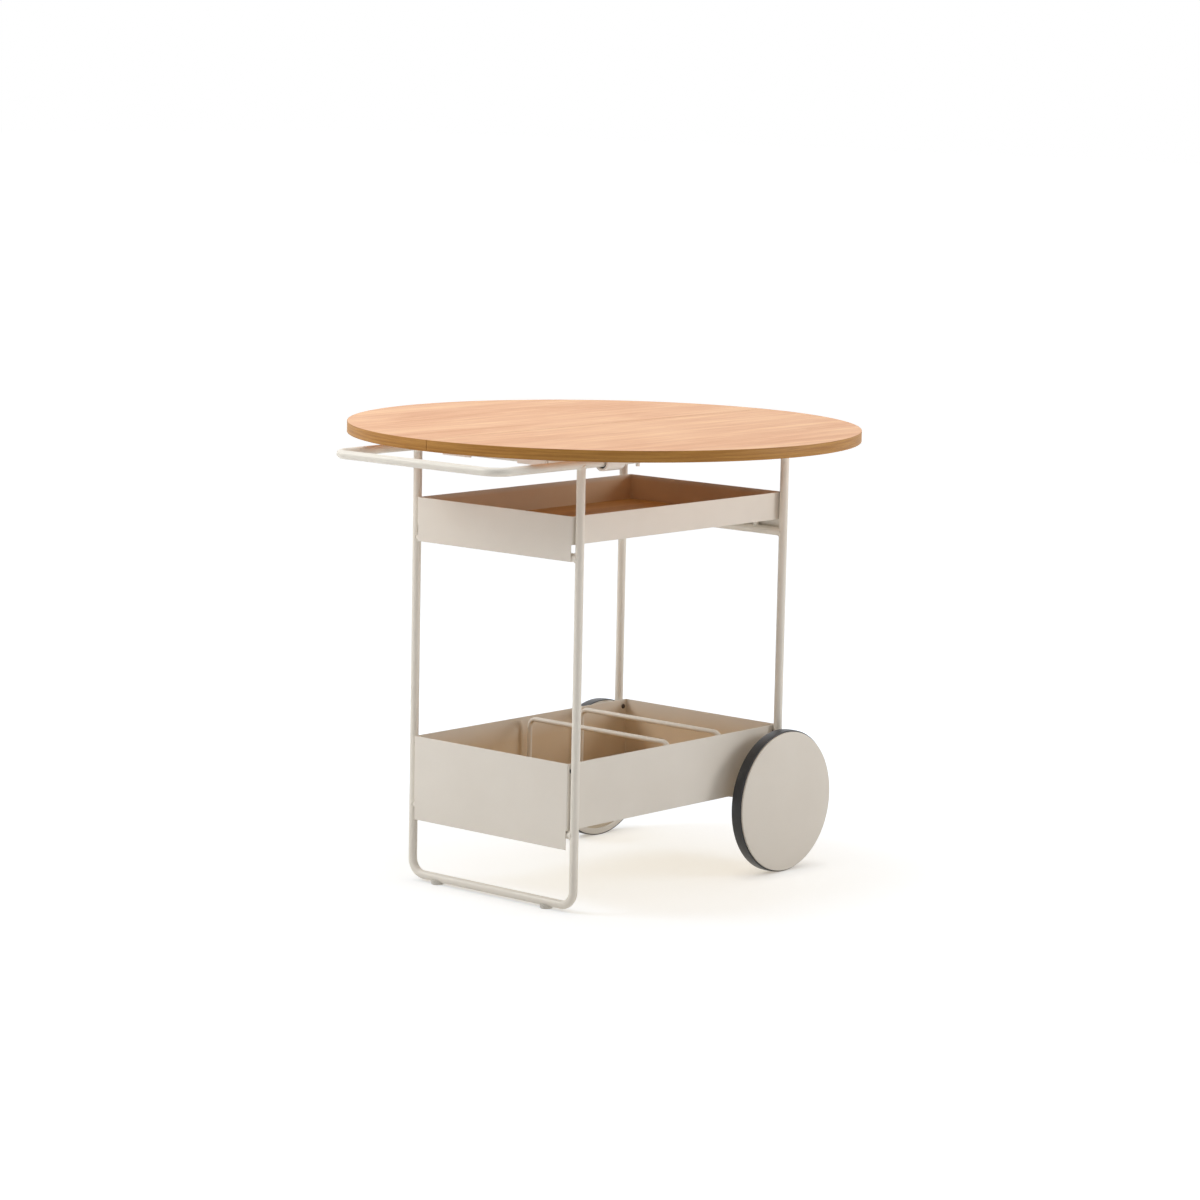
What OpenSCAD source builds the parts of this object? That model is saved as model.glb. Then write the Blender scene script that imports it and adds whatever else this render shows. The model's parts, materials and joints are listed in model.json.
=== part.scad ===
// Serving cart with a round two-leaf top, two folded sheet trays, a push handle and two disc wheels.
// X runs along the cart with the handle at -X, Y runs across it and Z is up. The handle end is the front.
// The origin is on the floor, under the middle of the cart's overall length and width.

/* [Table top] */
// Diameter of the round top
top_d = 830; // [790:5:870]
// Thickness of each leaf
top_t = 18; // [14:1:24]
// Height of the table surface above the floor
top_z = 740; // [700:5:800]
// Gap between the two leaves along the seam
seam_gap = 1; // [0.6:0.2:3]
// Thickness of the edge band glued round each leaf
band_t = 1.2; // [0.8:0.2:3]

/* [Frame] */
// Distance between front and rear leg centres
leg_dx = 504; // [460:2:540]
// Distance between the leg centres across the cart
leg_dy = 348; // [320:2:380]
// Outer diameter of the frame tube
tube_d = 14; // [12:0.5:16]
// Wall of the frame tube
tube_wall = 1.5; // [1:0.25:2.5]
// Distance from the front leg centres to the centre of the handle bar
handle_reach = 190; // [180:5:230]
// Centre-line radius of the two handle bends
handle_bend_r = 28; // [20:1:60]
// Centre-line radius where a rail turns down into a rear leg
rear_bend_r = 28; // [22:1:32]
// Centre-line radius of the bends at the foot of the front legs
foot_bend_r = 25; // [20:1:60]
// Height of the glides under the foot bar
glide_h = 3.5; // [2.5:0.5:9]
// Diameter of a glide
glide_d = 20; // [14:1:26]
// Distance from each glide's middle to the start of the foot bar's bend
glide_inset = 31; // [10:1:60]
// How far the rear legs reach below the lower crossbar
rear_leg_tail = 9.3; // [6:0.1:20]

/* [Trays] */
// Thickness of the folded sheet of both trays
sheet_t = 1.5; // [1:0.25:2.5]
// Gap between a tray's side wall and the legs
tray_side_gap = 1.25; // [1:0.25:8]
// Clear height between the upper tray's rim and the table top
upper_space = 97; // [80:1:140]
// Height of the upper tray's side walls
upper_wall_h = 44.5; // [24:0.5:60]
// How far the upper tray's end panels hang below its floor
upper_skirt_h = 26.5; // [20:0.5:45]
// Height of the spacers that carry the upper tray
spacer_h = 13.5; // [8:0.5:20]
// Diameter of the spacers
spacer_d = 9; // [8:0.5:12]
// Distance of each spacer from the middle of its crossbar
spacer_y = 117; // [60:1:130]
// Thickness of the loose wooden floor panel in each tray
panel_t = 1.5; // [1:0.5:8]
// Gap round each wooden floor panel
panel_gap = 1; // [0.5:0.25:3]
// Gap between the axle tube and the underside of the lower tray
axle_tray_gap = 5.5; // [4:0.5:20]
// Height of the lower tray's side walls
lower_wall_h = 106; // [80:1:150]
// How far the lower tray's end panels hang below its floor
lower_skirt_h = 31; // [15:1:45]
// Distance of the leg bolts below the lower tray's rim
bolt_drop = 12; // [8:1:30]

/* [Bottle dividers] */
// Diameter of the divider rods
divider_d = 8; // [6:0.5:10]
// Distance of the front divider behind the middle of the tray
divider_1_x = 0; // [-60:5:40]
// Distance of the rear divider behind the middle of the tray
divider_2_x = 130; // [80:5:190]
// Gap between a divider's upright and the tray wall
divider_gap = 9.5; // [3:0.5:20]
// Centre-line radius of the divider bends
divider_bend_r = 13; // [9:0.5:25]
// How far the dividers stand above the lower tray's rim
divider_rise = 3; // [-10:1:15]

/* [Wheels] */
// Outer diameter of the tyres
tyre_d = 236; // [200:2:280]
// Width of a tyre
tyre_w = 18.5; // [12:0.5:24]
// Radial thickness of a tyre under its tread
tyre_t = 8; // [6:0.5:14]
// Radial thickness of the tyre lip round the inner ring
tyre_lip_t = 1.75; // [1.5:0.25:5]
// How far the flat outer disc's edge lies inside the tread
disc_inset = 2.5; // [1:0.5:8]
// Thickness of the flat outer disc
disc_t = 3; // [2:0.5:6]
// Thickness of the ring on the wheel's inner side
ring_t = 3; // [2:0.5:5]
// Radial width of the ring on the wheel's inner side
ring_w = 10; // [6:0.5:30]
// Distance from the wheel's inner side to the outside of the legs
wheel_gap = 11; // [10:0.5:20]
// Distance of the axle in front of the rear leg centres
axle_back = 21; // [18:0.5:24]
// Diameter of the axle
axle_d = 10; // [8:0.5:12]
// Wall of the tube that carries the axle
axle_tube_wall = 2.8; // [2:0.1:4]
// Distance from the inside of the legs to the middle of each axle plate
axle_plate_inset = 17; // [8:1:80]
// Thickness of the axle plates
axle_plate_t = 4; // [3:0.5:6]
// Material of the axle plates round the axle tube
axle_plate_rim = 4; // [3:0.5:6]

/* [Leaf pivots] */
// Outer diameter of the sleeves that turn on the rails
sleeve_d = 28; // [26:0.5:32]
// Wall of the sleeves
sleeve_wall = 4; // [2.5:0.25:4.5]
// Length of a sleeve
sleeve_l = 42; // [38:1:54]
// Gap between the rear sleeves and the rear top crossbar
sleeve_bar_gap = 4; // [3:1:40]
// Width of the web between a sleeve and its mounting plate
sleeve_web_w = 11; // [8:1:18]
// Thickness of the sleeve's mounting plate
plate_t = 2; // [1.5:0.25:4]
// Width of the sleeve's mounting plate across the cart
plate_w = 60; // [56:1:80]
// Length of a plastic bush inside a sleeve
bush_l = 12; // [8:1:18]
// How deep each bush sits inside the sleeve's end
bush_depth = 4; // [2:0.5:6]
// Length of the clips that rest on the top crossbars
clip_l = 60; // [44:1:70]
// Width of the clips
clip_w = 22; // [20:0.5:28]
// Distance of each clip from the seam to its middle
clip_y = 80; // [50:1:95]
// How far the clips reach below the crossbar
clip_reach = 1; // [0.5:0.25:3]
// Distance from the front sleeves to the middle of the stop pegs
peg_gap = 45; // [12:1:80]
// Diameter of the stop pegs
peg_d = 6.5; // [5:0.5:12]
// How far the stop pegs stand below the rail
peg_h = 5; // [3:0.5:10]

/* [Fasteners] */
// Shank diameter of the wood screws
screw_d = 3.6; // [3:0.1:4.2]
// Head diameter of the wood screws
screw_head_d = 7.6; // [6.5:0.1:8]
// Head height of the wood screws
screw_head_h = 2.4; // [1.8:0.1:2.8]
// Depth of the wood screws in the leaves
screw_grip = 11; // [8:0.5:12]
// Shank diameter of the upper tray's machine screws
machine_d = 4; // [3:0.5:4.5]
// Head diameter of the machine screws
machine_head_d = 8; // [7:0.25:8.5]
// Shank diameter of the divider screws
rod_screw_d = 3.4; // [2.5:0.1:4]
// Depth of the divider screws in the rods
rod_screw_grip = 12; // [8:0.5:16]
// Shank diameter of the leg bolts
bolt_d = 5; // [4:0.5:6]
// Head diameter of the leg bolts
bolt_head_d = 8; // [7:0.5:11]
// Diameter of the black washers between tray and legs
washer_d = 9; // [8:0.5:14]

/* [Clearances] */
// Gap between seated curved faces
seat_gap = 0.2; // [0.1:0.05:0.3]
// Radial running gap of the pivots and wheels
run_gap = 0.05; // [0.02:0.01:0.1]
// Gap between parts that move past each other
move_gap = 0.3; // [0.3:0.05:0.6]
// Radial gap of a screw in its hole
hole_gap = 0.2; // [0.1:0.05:0.3]

/* [Hidden] */
$fn = 96;
tube_r = tube_d / 2;
top_r = top_d / 2;
front_x = -leg_dx / 2;
rear_x = leg_dx / 2;
side_y = leg_dy / 2;
handle_x = front_x - handle_reach;
top_under_z = top_z - top_t;
rail_z = top_under_z - plate_t - sleeve_d / 2;
foot_z = glide_h + tube_r;
rear_top_bar_x = rear_x - rear_bend_r - tube_r - seat_gap;
axle_x = rear_x - axle_back;
axle_z = tyre_d / 2;
axle_tube_d = axle_d + 2 * seat_gap + 2 * axle_tube_wall;
wheel_in_y = side_y + tube_r + wheel_gap;

tray_half_x = rear_x + tube_r + move_gap + sheet_t;
tray_half_y = side_y - tube_r - tray_side_gap;
upper_rim_z = top_under_z - upper_space;
upper_tray_z = upper_rim_z - upper_wall_h;
upper_bar_z = upper_tray_z - spacer_h - tube_r;
lower_tray_z = axle_z + axle_tube_d / 2 + axle_tray_gap;
lower_rim_z = lower_tray_z + lower_wall_h;
lower_bar_z = lower_tray_z - tube_r - seat_gap;
rear_foot_z = lower_bar_z - tube_r - rear_leg_tail;
bolt_z = lower_rim_z - bolt_drop;
divider_y = tray_half_y - sheet_t - divider_gap - divider_d / 2;
divider_top_z = lower_rim_z + divider_rise - divider_d / 2;
axle_plate_y = side_y - tube_r - axle_plate_inset;
glide_y = side_y - foot_bend_r - glide_inset;
disc_d = tyre_d - 2 * disc_inset;
core_r = tyre_d / 2 - tyre_t;
ring_r = tyre_d / 2 - tyre_lip_t - seat_gap;

hub_bush_wall = 3;
hub_flange_w = 3;
hub_flange_t = 1.5;
hub_proud = 1;
hub_pocket_h = 5.5;
hub_pocket_gap = 2;
hub_d = axle_d + 2 * hub_bush_wall;
hub_flange_d = hub_d + 2 * hub_flange_w;
hub_flange_y = wheel_in_y + tyre_w - hub_pocket_h;

clip_ring_t = 1;
clip_ring_d = axle_d + 8;
groove_depth = 0.5;
groove_d = axle_d - 2 * groove_depth;
groove_y = hub_flange_y + hub_flange_t + move_gap;
axle_tip = 1.5;
axle_end_y = groove_y + clip_ring_t + axle_tip;
axle_washer_t = 2;
axle_washer_d = axle_tube_d + 4;
axle_washer_y = wheel_in_y - hub_proud - axle_washer_t - move_gap;

sleeve_x = rear_top_bar_x - tube_r - sleeve_bar_gap - sleeve_l / 2;
peg_x = sleeve_x - sleeve_l / 2 - peg_gap;
bush_d = sleeve_d - 2 * sleeve_wall - seat_gap;
bush_bore_d = tube_d + 2 * run_gap;
plate_screw_y = plate_w / 2 - screw_head_d / 2 - 1.5;
plate_screw_x = sleeve_l / 2 - screw_head_d / 2 - 3;
clip_screw_y = clip_l / 2 - screw_head_d / 2 - 6;
clip_crown_h = top_under_z - rail_z - tube_r - move_gap;
pilot_extra = 1;
plug_cap_t = 2;
bolt_head_h = bolt_d / 2;
bolt_head_taper = 2;
edge_r = 1.2;
// How far a cut runs past the face that it opens
over = 1;
// Facets round the largest circles
large_fn = 180;
// The overall length runs from the handle bar to the rear edge of the top.
reach_front = -handle_x + tube_r;
reach_rear = top_r;
cart_x = (reach_front - reach_rear) / 2;

cream = [0.87, 0.84, 0.79];
oak = [0.87, 0.66, 0.45];
oak_edge = [0.62, 0.45, 0.22];
charcoal = [0.13, 0.13, 0.14];
steel = [0.72, 0.72, 0.70];
plastic = [0.93, 0.89, 0.86];
glide_grey = [0.70, 0.70, 0.70];
black = [0.08, 0.08, 0.08];

// Moves the cart so that the origin lies under the middle of its overall length.
module placed() translate([cart_x, 0, 0]) children();

// Repeats a shape on both sides of the cart.
module both_sides() {
    children();
    mirror([0, 1, 0]) children();
}

// Turns a shape that is built on the far side over to the near side.
module near_side() mirror([0, 1, 0]) children();

// A shape that stands along +Z is laid along +Y or +X.
module along_y() rotate([-90, 0, 0]) children();
module along_x() rotate([0, 90, 0]) children();

// Cross-section of the frame tube.
module tube_section() difference() {
    circle(d = tube_d);
    circle(d = tube_d - 2 * tube_wall);
}

// Straight run of frame tube along +Z.
module tube_run(length) linear_extrude(length) tube_section();

// Quarter bend of frame tube in the XY plane, from +X round to +Y.
module tube_bend(bend_r) rotate_extrude(angle = 90) translate([bend_r, 0]) tube_section();

// Space taken up by the straight stretch of both rails, with a seating gap.
module rail_space() both_sides()
    translate([handle_x + handle_bend_r, side_y, rail_z])
        along_x() cylinder(r = tube_r + seat_gap, h = rear_x - rear_bend_r - handle_x - handle_bend_r);

// Space taken up by the pair of upright legs at one end, with a seating gap.
module leg_space(x) both_sides()
    translate([x, side_y, 0]) cylinder(r = tube_r + seat_gap, h = rail_z);

// Space taken up by a crossbar, with a seating gap.
module bar_space(x, z) translate([x, -side_y, z]) along_y() cylinder(r = tube_r + seat_gap, h = leg_dy);

// Half of the tube that forms a rear leg, a rail and half of the handle.
module handle_half() {
    rail_l = rear_x - rear_bend_r - handle_x - handle_bend_r;
    translate([rear_x, side_y, rear_foot_z]) tube_run(rail_z - rear_bend_r - rear_foot_z);
    translate([rear_x - rear_bend_r, side_y, rail_z - rear_bend_r]) rotate([90, 0, 0]) tube_bend(rear_bend_r);
    translate([handle_x + handle_bend_r, side_y, rail_z]) along_x() tube_run(rail_l);
    translate([handle_x + handle_bend_r, side_y - handle_bend_r, rail_z])
        rotate([0, 0, 90]) tube_bend(handle_bend_r);
    translate([handle_x, 0, rail_z]) along_y() tube_run(side_y - handle_bend_r);
}

module handle_frame() color(cream) placed() difference() {
    both_sides() handle_half();
    at_leg_bolts(rear_x) leg_bolt(hole_gap);
}

// Half of the tube that forms the foot bar and a front leg, coped to the rail at its top.
module front_leg_half() {
    translate([front_x, 0, foot_z]) along_y() tube_run(side_y - foot_bend_r);
    translate([front_x, side_y - foot_bend_r, foot_z + foot_bend_r])
        rotate([90, 0, 90]) rotate([0, 0, -90]) tube_bend(foot_bend_r);
    difference() {
        translate([front_x, side_y, foot_z + foot_bend_r]) tube_run(rail_z - foot_z - foot_bend_r);
        rail_space();
    }
}

module front_legs() color(cream) placed() difference() {
    both_sides() front_leg_half();
    at_leg_bolts(front_x) leg_bolt(hole_gap);
}

// Crossbar between the two legs at one end, with its ends coped to them, and drilled for the tray screws.
module leg_crossbar(x, z) color(cream) placed() difference() {
    translate([x, -side_y, z]) along_y() tube_run(leg_dy);
    leg_space(x);
    at_spacers() tray_screw(hole_gap);
}

// Crossbar between the two rails, under the table top.
module rail_crossbar(x) color(cream) placed() difference() {
    translate([x, -side_y, rail_z]) along_y() tube_run(leg_dy);
    leg_space(front_x);
    rail_space();
}

module front_top_crossbar() rail_crossbar(front_x);
module rear_top_crossbar() rail_crossbar(rear_top_bar_x);
module front_upper_crossbar() leg_crossbar(front_x, upper_bar_z);
module rear_upper_crossbar() leg_crossbar(rear_x, upper_bar_z);
module front_lower_crossbar() leg_crossbar(front_x, lower_bar_z);
module rear_lower_crossbar() leg_crossbar(rear_x, lower_bar_z);

// Glides are cups that hold the underside of the foot bar.
module glides() color(glide_grey) placed() difference() {
    both_sides() translate([front_x, glide_y, 0]) cylinder(d = glide_d, h = glide_h + tube_r / 2);
    bar_space(front_x, foot_z);
}

// Plugs close the lower ends of the rear legs, each with a cap and a shank inside the tube.
module rear_leg_plugs() color(cream) placed() both_sides() translate([rear_x, side_y, rear_foot_z]) {
    translate([0, 0, -plug_cap_t]) cylinder(d = tube_d, h = plug_cap_t);
    cylinder(d = tube_d - 2 * tube_wall - 2 * seat_gap, h = tube_d);
}

// Pegs under the rails, in front of their middle.
module stop_pegs() color(plastic) placed() difference() {
    both_sides() translate([-peg_x, side_y, rail_z - tube_r - peg_h]) cylinder(d = peg_d, h = peg_h + tube_r);
    rail_space();
}

// A folded sheet tray: floor, two side walls, and end panels that hang below the floor.
module sheet_tray(floor_z, wall_h, skirt_h) {
    translate([-tray_half_x, -tray_half_y, floor_z]) cube([2 * tray_half_x, 2 * tray_half_y, sheet_t]);
    for (y = [-tray_half_y, tray_half_y - sheet_t])
        translate([-tray_half_x, y, floor_z]) cube([2 * tray_half_x, sheet_t, wall_h]);
    for (x = [-tray_half_x, tray_half_x - sheet_t])
        translate([x, -tray_half_y, floor_z - skirt_h]) cube([sheet_t, 2 * tray_half_y, wall_h + skirt_h]);
}

// Places a shape at the four upper tray spacers.
module at_spacers() both_sides() for (x = [front_x, rear_x])
    translate([x, spacer_y, upper_tray_z]) children();

// Flat-headed screw through the upper tray, its spacer and the crossbar wall; extra widens it to its hole.
module tray_screw(extra) {
    head_h = (machine_head_d - machine_d) / 2;
    translate([0, 0, sheet_t - head_h])
        cylinder(d1 = machine_d + 2 * extra, d2 = machine_head_d + 2 * extra, h = head_h);
    translate([0, 0, -spacer_h - tube_r])
        cylinder(d = machine_d + 2 * extra, h = spacer_h + tube_r + sheet_t - head_h);
}

module upper_tray() color(cream) placed() difference() {
    sheet_tray(upper_tray_z, upper_wall_h, upper_skirt_h);
    at_spacers() tray_screw(hole_gap);
}

// Loose panel on the floor of the tray whose sheet starts at floor_z.
module floor_panel(floor_z) {
    half_x = tray_half_x - sheet_t - panel_gap;
    half_y = tray_half_y - sheet_t - panel_gap;
    translate([-half_x, -half_y, floor_z + sheet_t]) cube([2 * half_x, 2 * half_y, panel_t]);
}

module upper_tray_floor_panel() color(oak) placed() floor_panel(upper_tray_z);

module upper_tray_spacers() color(cream) placed() difference() {
    at_spacers() translate([0, 0, -spacer_h - tube_r]) cylinder(d = spacer_d, h = spacer_h + tube_r);
    for (x = [front_x, rear_x]) bar_space(x, upper_bar_z);
    at_spacers() tray_screw(hole_gap);
}

module upper_tray_screws() color(steel) placed() at_spacers() tray_screw(0);

// Places a shape at the tray's inner wall by both legs at one end, pointing outwards along +Y.
module at_leg_bolts(x) both_sides() translate([x, tray_half_y - sheet_t, bolt_z]) along_y() children();

// Button-headed bolt from inside the lower tray into a leg; extra widens its shank to its hole.
module leg_bolt(extra) {
    if (extra == 0) translate([0, 0, -bolt_head_h])
        cylinder(d1 = bolt_head_d - bolt_head_taper, d2 = bolt_head_d, h = bolt_head_h);
    cylinder(d = bolt_d + 2 * extra, h = sheet_t + tray_side_gap + tube_r);
}

module lower_tray() color(cream) placed() difference() {
    sheet_tray(lower_tray_z, lower_wall_h, lower_skirt_h);
    for (x = [front_x, rear_x]) at_leg_bolts(x) leg_bolt(hole_gap);
    at_dividers() divider_screw(hole_gap);
}

// The lower tray's panel is bored for the feet of the dividers.
module lower_tray_floor_panel() color(oak) placed() difference() {
    floor_panel(lower_tray_z);
    at_dividers() cylinder(r = divider_d / 2 + panel_gap, h = sheet_t + panel_t + over);
}

module lower_tray_bolts() color(black) placed() for (x = [front_x, rear_x]) at_leg_bolts(x) leg_bolt(0);

// Black washers fill the gap between the tray and the legs, hollowed to the round of the leg.
module lower_tray_washers() color(black) placed() difference() {
    for (x = [front_x, rear_x]) at_leg_bolts(x)
        translate([0, 0, sheet_t]) cylinder(d = washer_d, h = tray_side_gap + tube_r / 2);
    for (x = [front_x, rear_x]) {
        leg_space(x);
        at_leg_bolts(x) leg_bolt(hole_gap);
    }
}

// Half of a bottle divider: an upright, a bend and half of the bar across the tray.
module divider_half(x) {
    floor_z = lower_tray_z + sheet_t;
    translate([x, divider_y, floor_z]) cylinder(d = divider_d, h = divider_top_z - divider_bend_r - floor_z);
    translate([x, divider_y - divider_bend_r, divider_top_z - divider_bend_r])
        rotate([90, 0, 90]) rotate_extrude(angle = 90) translate([divider_bend_r, 0]) circle(d = divider_d);
    translate([x, 0, divider_top_z]) along_y() cylinder(d = divider_d, h = divider_y - divider_bend_r);
}

module divider(x) color(cream) placed() difference() {
    both_sides() divider_half(x);
    at_dividers() divider_screw(hole_gap);
}

module front_divider() divider(divider_1_x);
module rear_divider() divider(divider_2_x);

// Places a shape under the lower tray floor at the four feet of the dividers.
module at_dividers() both_sides() for (x = [divider_1_x, divider_2_x])
    translate([x, divider_y, lower_tray_z]) children();

// Pan-headed screw up through the tray floor into a divider; extra widens its shank to its hole.
module divider_screw(extra) {
    head_h = rod_screw_d / 2;
    if (extra == 0) translate([0, 0, -head_h]) cylinder(d = machine_head_d, h = head_h);
    cylinder(d = rod_screw_d + 2 * extra, h = sheet_t + rod_screw_grip);
}

module divider_screws() color(steel) placed() at_dividers() divider_screw(0);

// Plates under the lower tray, coped to the rear crossbar, that carry the axle tube.
module axle_plates() color(cream) placed() difference() {
    edge = axle_tube_d / 2 + axle_plate_rim;
    top = lower_tray_z - move_gap;
    both_sides() translate([axle_x - edge, axle_plate_y - axle_plate_t / 2, axle_z - edge])
        cube([axle_back + edge, axle_plate_t, top - axle_z + edge]);
    bar_space(rear_x, lower_bar_z);
    translate([axle_x, -side_y, axle_z]) along_y() cylinder(d = axle_tube_d + 2 * seat_gap, h = leg_dy);
}

module axle_tube() color(cream) placed() difference() {
    half_l = axle_washer_y - move_gap;
    bore_d = axle_d + 2 * seat_gap;
    translate([axle_x, -half_l, axle_z]) along_y() cylinder(d = axle_tube_d, h = 2 * half_l);
    translate([axle_x, -half_l - over, axle_z]) along_y() cylinder(d = bore_d, h = 2 * (half_l + over));
}

// Steel axle with a groove for a retaining ring near each end.
module axle() color(steel) placed() difference() {
    translate([axle_x, -axle_end_y, axle_z]) along_y() cylinder(d = axle_d, h = 2 * axle_end_y);
    both_sides() translate([axle_x, groove_y, axle_z]) along_y() difference() {
        cylinder(d = axle_d + 2 * over, h = clip_ring_t);
        translate([0, 0, -over]) cylinder(d = groove_d, h = clip_ring_t + 2 * over);
    }
}

// Flat ring round the axle; its far and near copies start at distance y across the cart.
module axle_rings(y, outer_d, inner_d, thick) both_sides()
    translate([axle_x, y, axle_z]) along_y() difference() {
        cylinder(d = outer_d, h = thick);
        translate([0, 0, -over]) cylinder(d = inner_d, h = thick + 2 * over);
    }

module axle_washers() color(steel) placed()
    axle_rings(axle_washer_y, axle_washer_d, axle_d + 2 * seat_gap, axle_washer_t);

module axle_retaining_rings() color(steel) placed()
    axle_rings(groove_y + seat_gap / 2, clip_ring_d, groove_d + 2 * seat_gap, clip_ring_t - seat_gap);

// Half round in plan, on the far side of the seam, inset all round from the leaf's outline.
module half_round(inset) difference() {
    circle(r = top_r - inset, $fn = large_fn);
    translate([-top_d, -2 * top_d + seam_gap / 2 + inset]) square([2 * top_d, 2 * top_d]);
}

// Places a shape at each of a leaf's two sleeves, on the rail's centre line.
module at_sleeves() for (x = [-sleeve_x, sleeve_x]) translate([x, side_y, rail_z]) children();

// Places a shape under the sleeve's mounting plate at its four screws.
module at_plate_screws() at_sleeves()
    for (dx = [-plate_screw_x, plate_screw_x]) for (dy = [-plate_screw_y, plate_screw_y])
        translate([dx, dy, sleeve_d / 2]) children();

// Places a shape in the crown of the clips at their screws.
module at_clip_screws() for (x = [front_x, rear_top_bar_x]) for (dy = [-clip_screw_y, clip_screw_y])
    translate([x, clip_y + dy, rail_z + tube_r + move_gap]) children();

// Pan-headed wood screw, standing on its head; reach is the length of its shank.
module wood_screw(reach, extra) {
    if (extra == 0) cylinder(d = screw_head_d, h = screw_head_h);
    translate([0, 0, screw_head_h]) cylinder(d = screw_d + 2 * extra, h = reach);
}

module leaf_board() difference() {
    translate([0, 0, top_under_z]) linear_extrude(top_t) half_round(band_t);
    pilot_l = screw_grip + pilot_extra;
    at_plate_screws() translate([0, 0, -screw_head_h]) wood_screw(plate_t + pilot_l, hole_gap);
    at_clip_screws() wood_screw(clip_crown_h - screw_head_h + pilot_l, hole_gap);
}

module leaf_edge_band() translate([0, 0, top_under_z]) linear_extrude(top_t) difference() {
    half_round(0);
    half_round(band_t);
}

// Sleeve with the web and plate that fasten it under the leaf.
module leaf_sleeves() difference() {
    at_sleeves() {
        translate([-sleeve_l / 2, 0, 0]) along_x() cylinder(d = sleeve_d, h = sleeve_l);
        translate([-sleeve_l / 2, -sleeve_web_w / 2, 0]) cube([sleeve_l, sleeve_web_w, sleeve_d / 2]);
        translate([-sleeve_l / 2, -plate_w / 2, sleeve_d / 2]) cube([sleeve_l, plate_w, plate_t]);
    }
    at_sleeves() translate([-sleeve_l / 2 - over, 0, 0])
        along_x() cylinder(d = sleeve_d - 2 * sleeve_wall, h = sleeve_l + 2 * over);
    at_plate_screws() translate([0, 0, -screw_head_h]) wood_screw(plate_t + screw_grip, hole_gap);
}

// Two plastic bushes in each sleeve, set in from its ends, that run on the rail.
module leaf_bushes() difference() {
    at_sleeves() for (x = [bush_depth - sleeve_l / 2, sleeve_l / 2 - bush_depth - bush_l])
        translate([x, 0, 0]) along_x() cylinder(d = bush_d, h = bush_l);
    at_sleeves() translate([-sleeve_l, 0, 0]) along_x() cylinder(d = bush_bore_d, h = 2 * sleeve_l);
}

module leaf_sleeve_screws() at_plate_screws()
    translate([0, 0, -screw_head_h]) wood_screw(plate_t + screw_grip, 0);

// Clips screwed under the leaf that straddle the top crossbars and rest on them.
module leaf_clips() difference() {
    low = tube_r + clip_reach;
    for (x = [front_x, rear_top_bar_x]) translate([x - clip_w / 2, clip_y - clip_l / 2, rail_z - low])
        cube([clip_w, clip_l, top_under_z - rail_z + low]);
    slot_r = tube_r + move_gap;
    for (x = [front_x, rear_top_bar_x]) translate([x, clip_y - clip_l / 2 - over, rail_z]) {
        along_y() cylinder(r = slot_r, h = clip_l + 2 * over);
        translate([-slot_r, 0, -low - over]) cube([2 * slot_r, clip_l + 2 * over, low + over]);
    }
    at_clip_screws() {
        translate([0, 0, -over]) cylinder(d = screw_head_d + 2 * hole_gap, h = screw_head_h + over);
        wood_screw(clip_crown_h, hole_gap);
    }
}

module leaf_clip_screws() at_clip_screws() wood_screw(clip_crown_h - screw_head_h + screw_grip, 0);

module far_leaf_board() color(oak) placed() leaf_board();
module far_leaf_edge_band() color(oak_edge) placed() leaf_edge_band();
module far_leaf_sleeves() color(plastic) placed() leaf_sleeves();
module far_leaf_bushes() color(black) placed() leaf_bushes();
module far_leaf_sleeve_screws() color(steel) placed() leaf_sleeve_screws();
module far_leaf_clips() color(plastic) placed() leaf_clips();
module far_leaf_clip_screws() color(steel) placed() leaf_clip_screws();
module near_leaf_board() near_side() far_leaf_board();
module near_leaf_edge_band() near_side() far_leaf_edge_band();
module near_leaf_sleeves() near_side() far_leaf_sleeves();
module near_leaf_bushes() near_side() far_leaf_bushes();
module near_leaf_sleeve_screws() near_side() far_leaf_sleeve_screws();
module near_leaf_clips() near_side() far_leaf_clips();
module near_leaf_clip_screws() near_side() far_leaf_clip_screws();

// Turns a profile of radius and width about the far wheel's axle, starting at the wheel's inner side.
module wheel_turned() translate([axle_x, wheel_in_y, axle_z]) along_y()
    rotate_extrude($fn = large_fn) children();

// Thick round core behind the outer disc, bored for the bush and pocketed for the retaining ring.
module wheel_core() wheel_turned() difference() {
    translate([0, ring_t]) square([core_r - seat_gap, tyre_w - ring_t]);
    square([hub_d / 2 + seat_gap, tyre_w + over]);
    translate([0, tyre_w - hub_pocket_h]) square([hub_flange_d / 2 + hub_pocket_gap, hub_pocket_h + over]);
}

// Cut that rounds the outer corner of a turned profile at radius r and width w; side is 1 or -1.
module corner_cut(r, w, side) translate([r - edge_r, w - side * edge_r]) difference() {
    translate([0, side > 0 ? 0 : -edge_r - over]) square(edge_r + over);
    circle(r = edge_r);
}

// Tyre with a lip round the inner ring and rounded shoulders.
module wheel_tyre() wheel_turned() difference() {
    tread_r = tyre_d / 2;
    translate([core_r, 0]) square([tyre_t, tyre_w]);
    translate([core_r - over, -over]) square([tyre_t - tyre_lip_t + over, ring_t + over]);
    corner_cut(tread_r, tyre_w, 1);
    corner_cut(tread_r, 0, -1);
}

// Flat outer disc that covers the core and the hub, with a rounded outer edge.
module wheel_outer_disc() wheel_turned() difference() {
    translate([0, tyre_w]) square([disc_d / 2, disc_t]);
    corner_cut(disc_d / 2, tyre_w + disc_t, 1);
}

// Flat ring on the wheel's inner side, inside the tyre's lip.
module wheel_inner_ring() wheel_turned() translate([ring_r - ring_w, 0]) square([ring_w, ring_t]);

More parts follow.
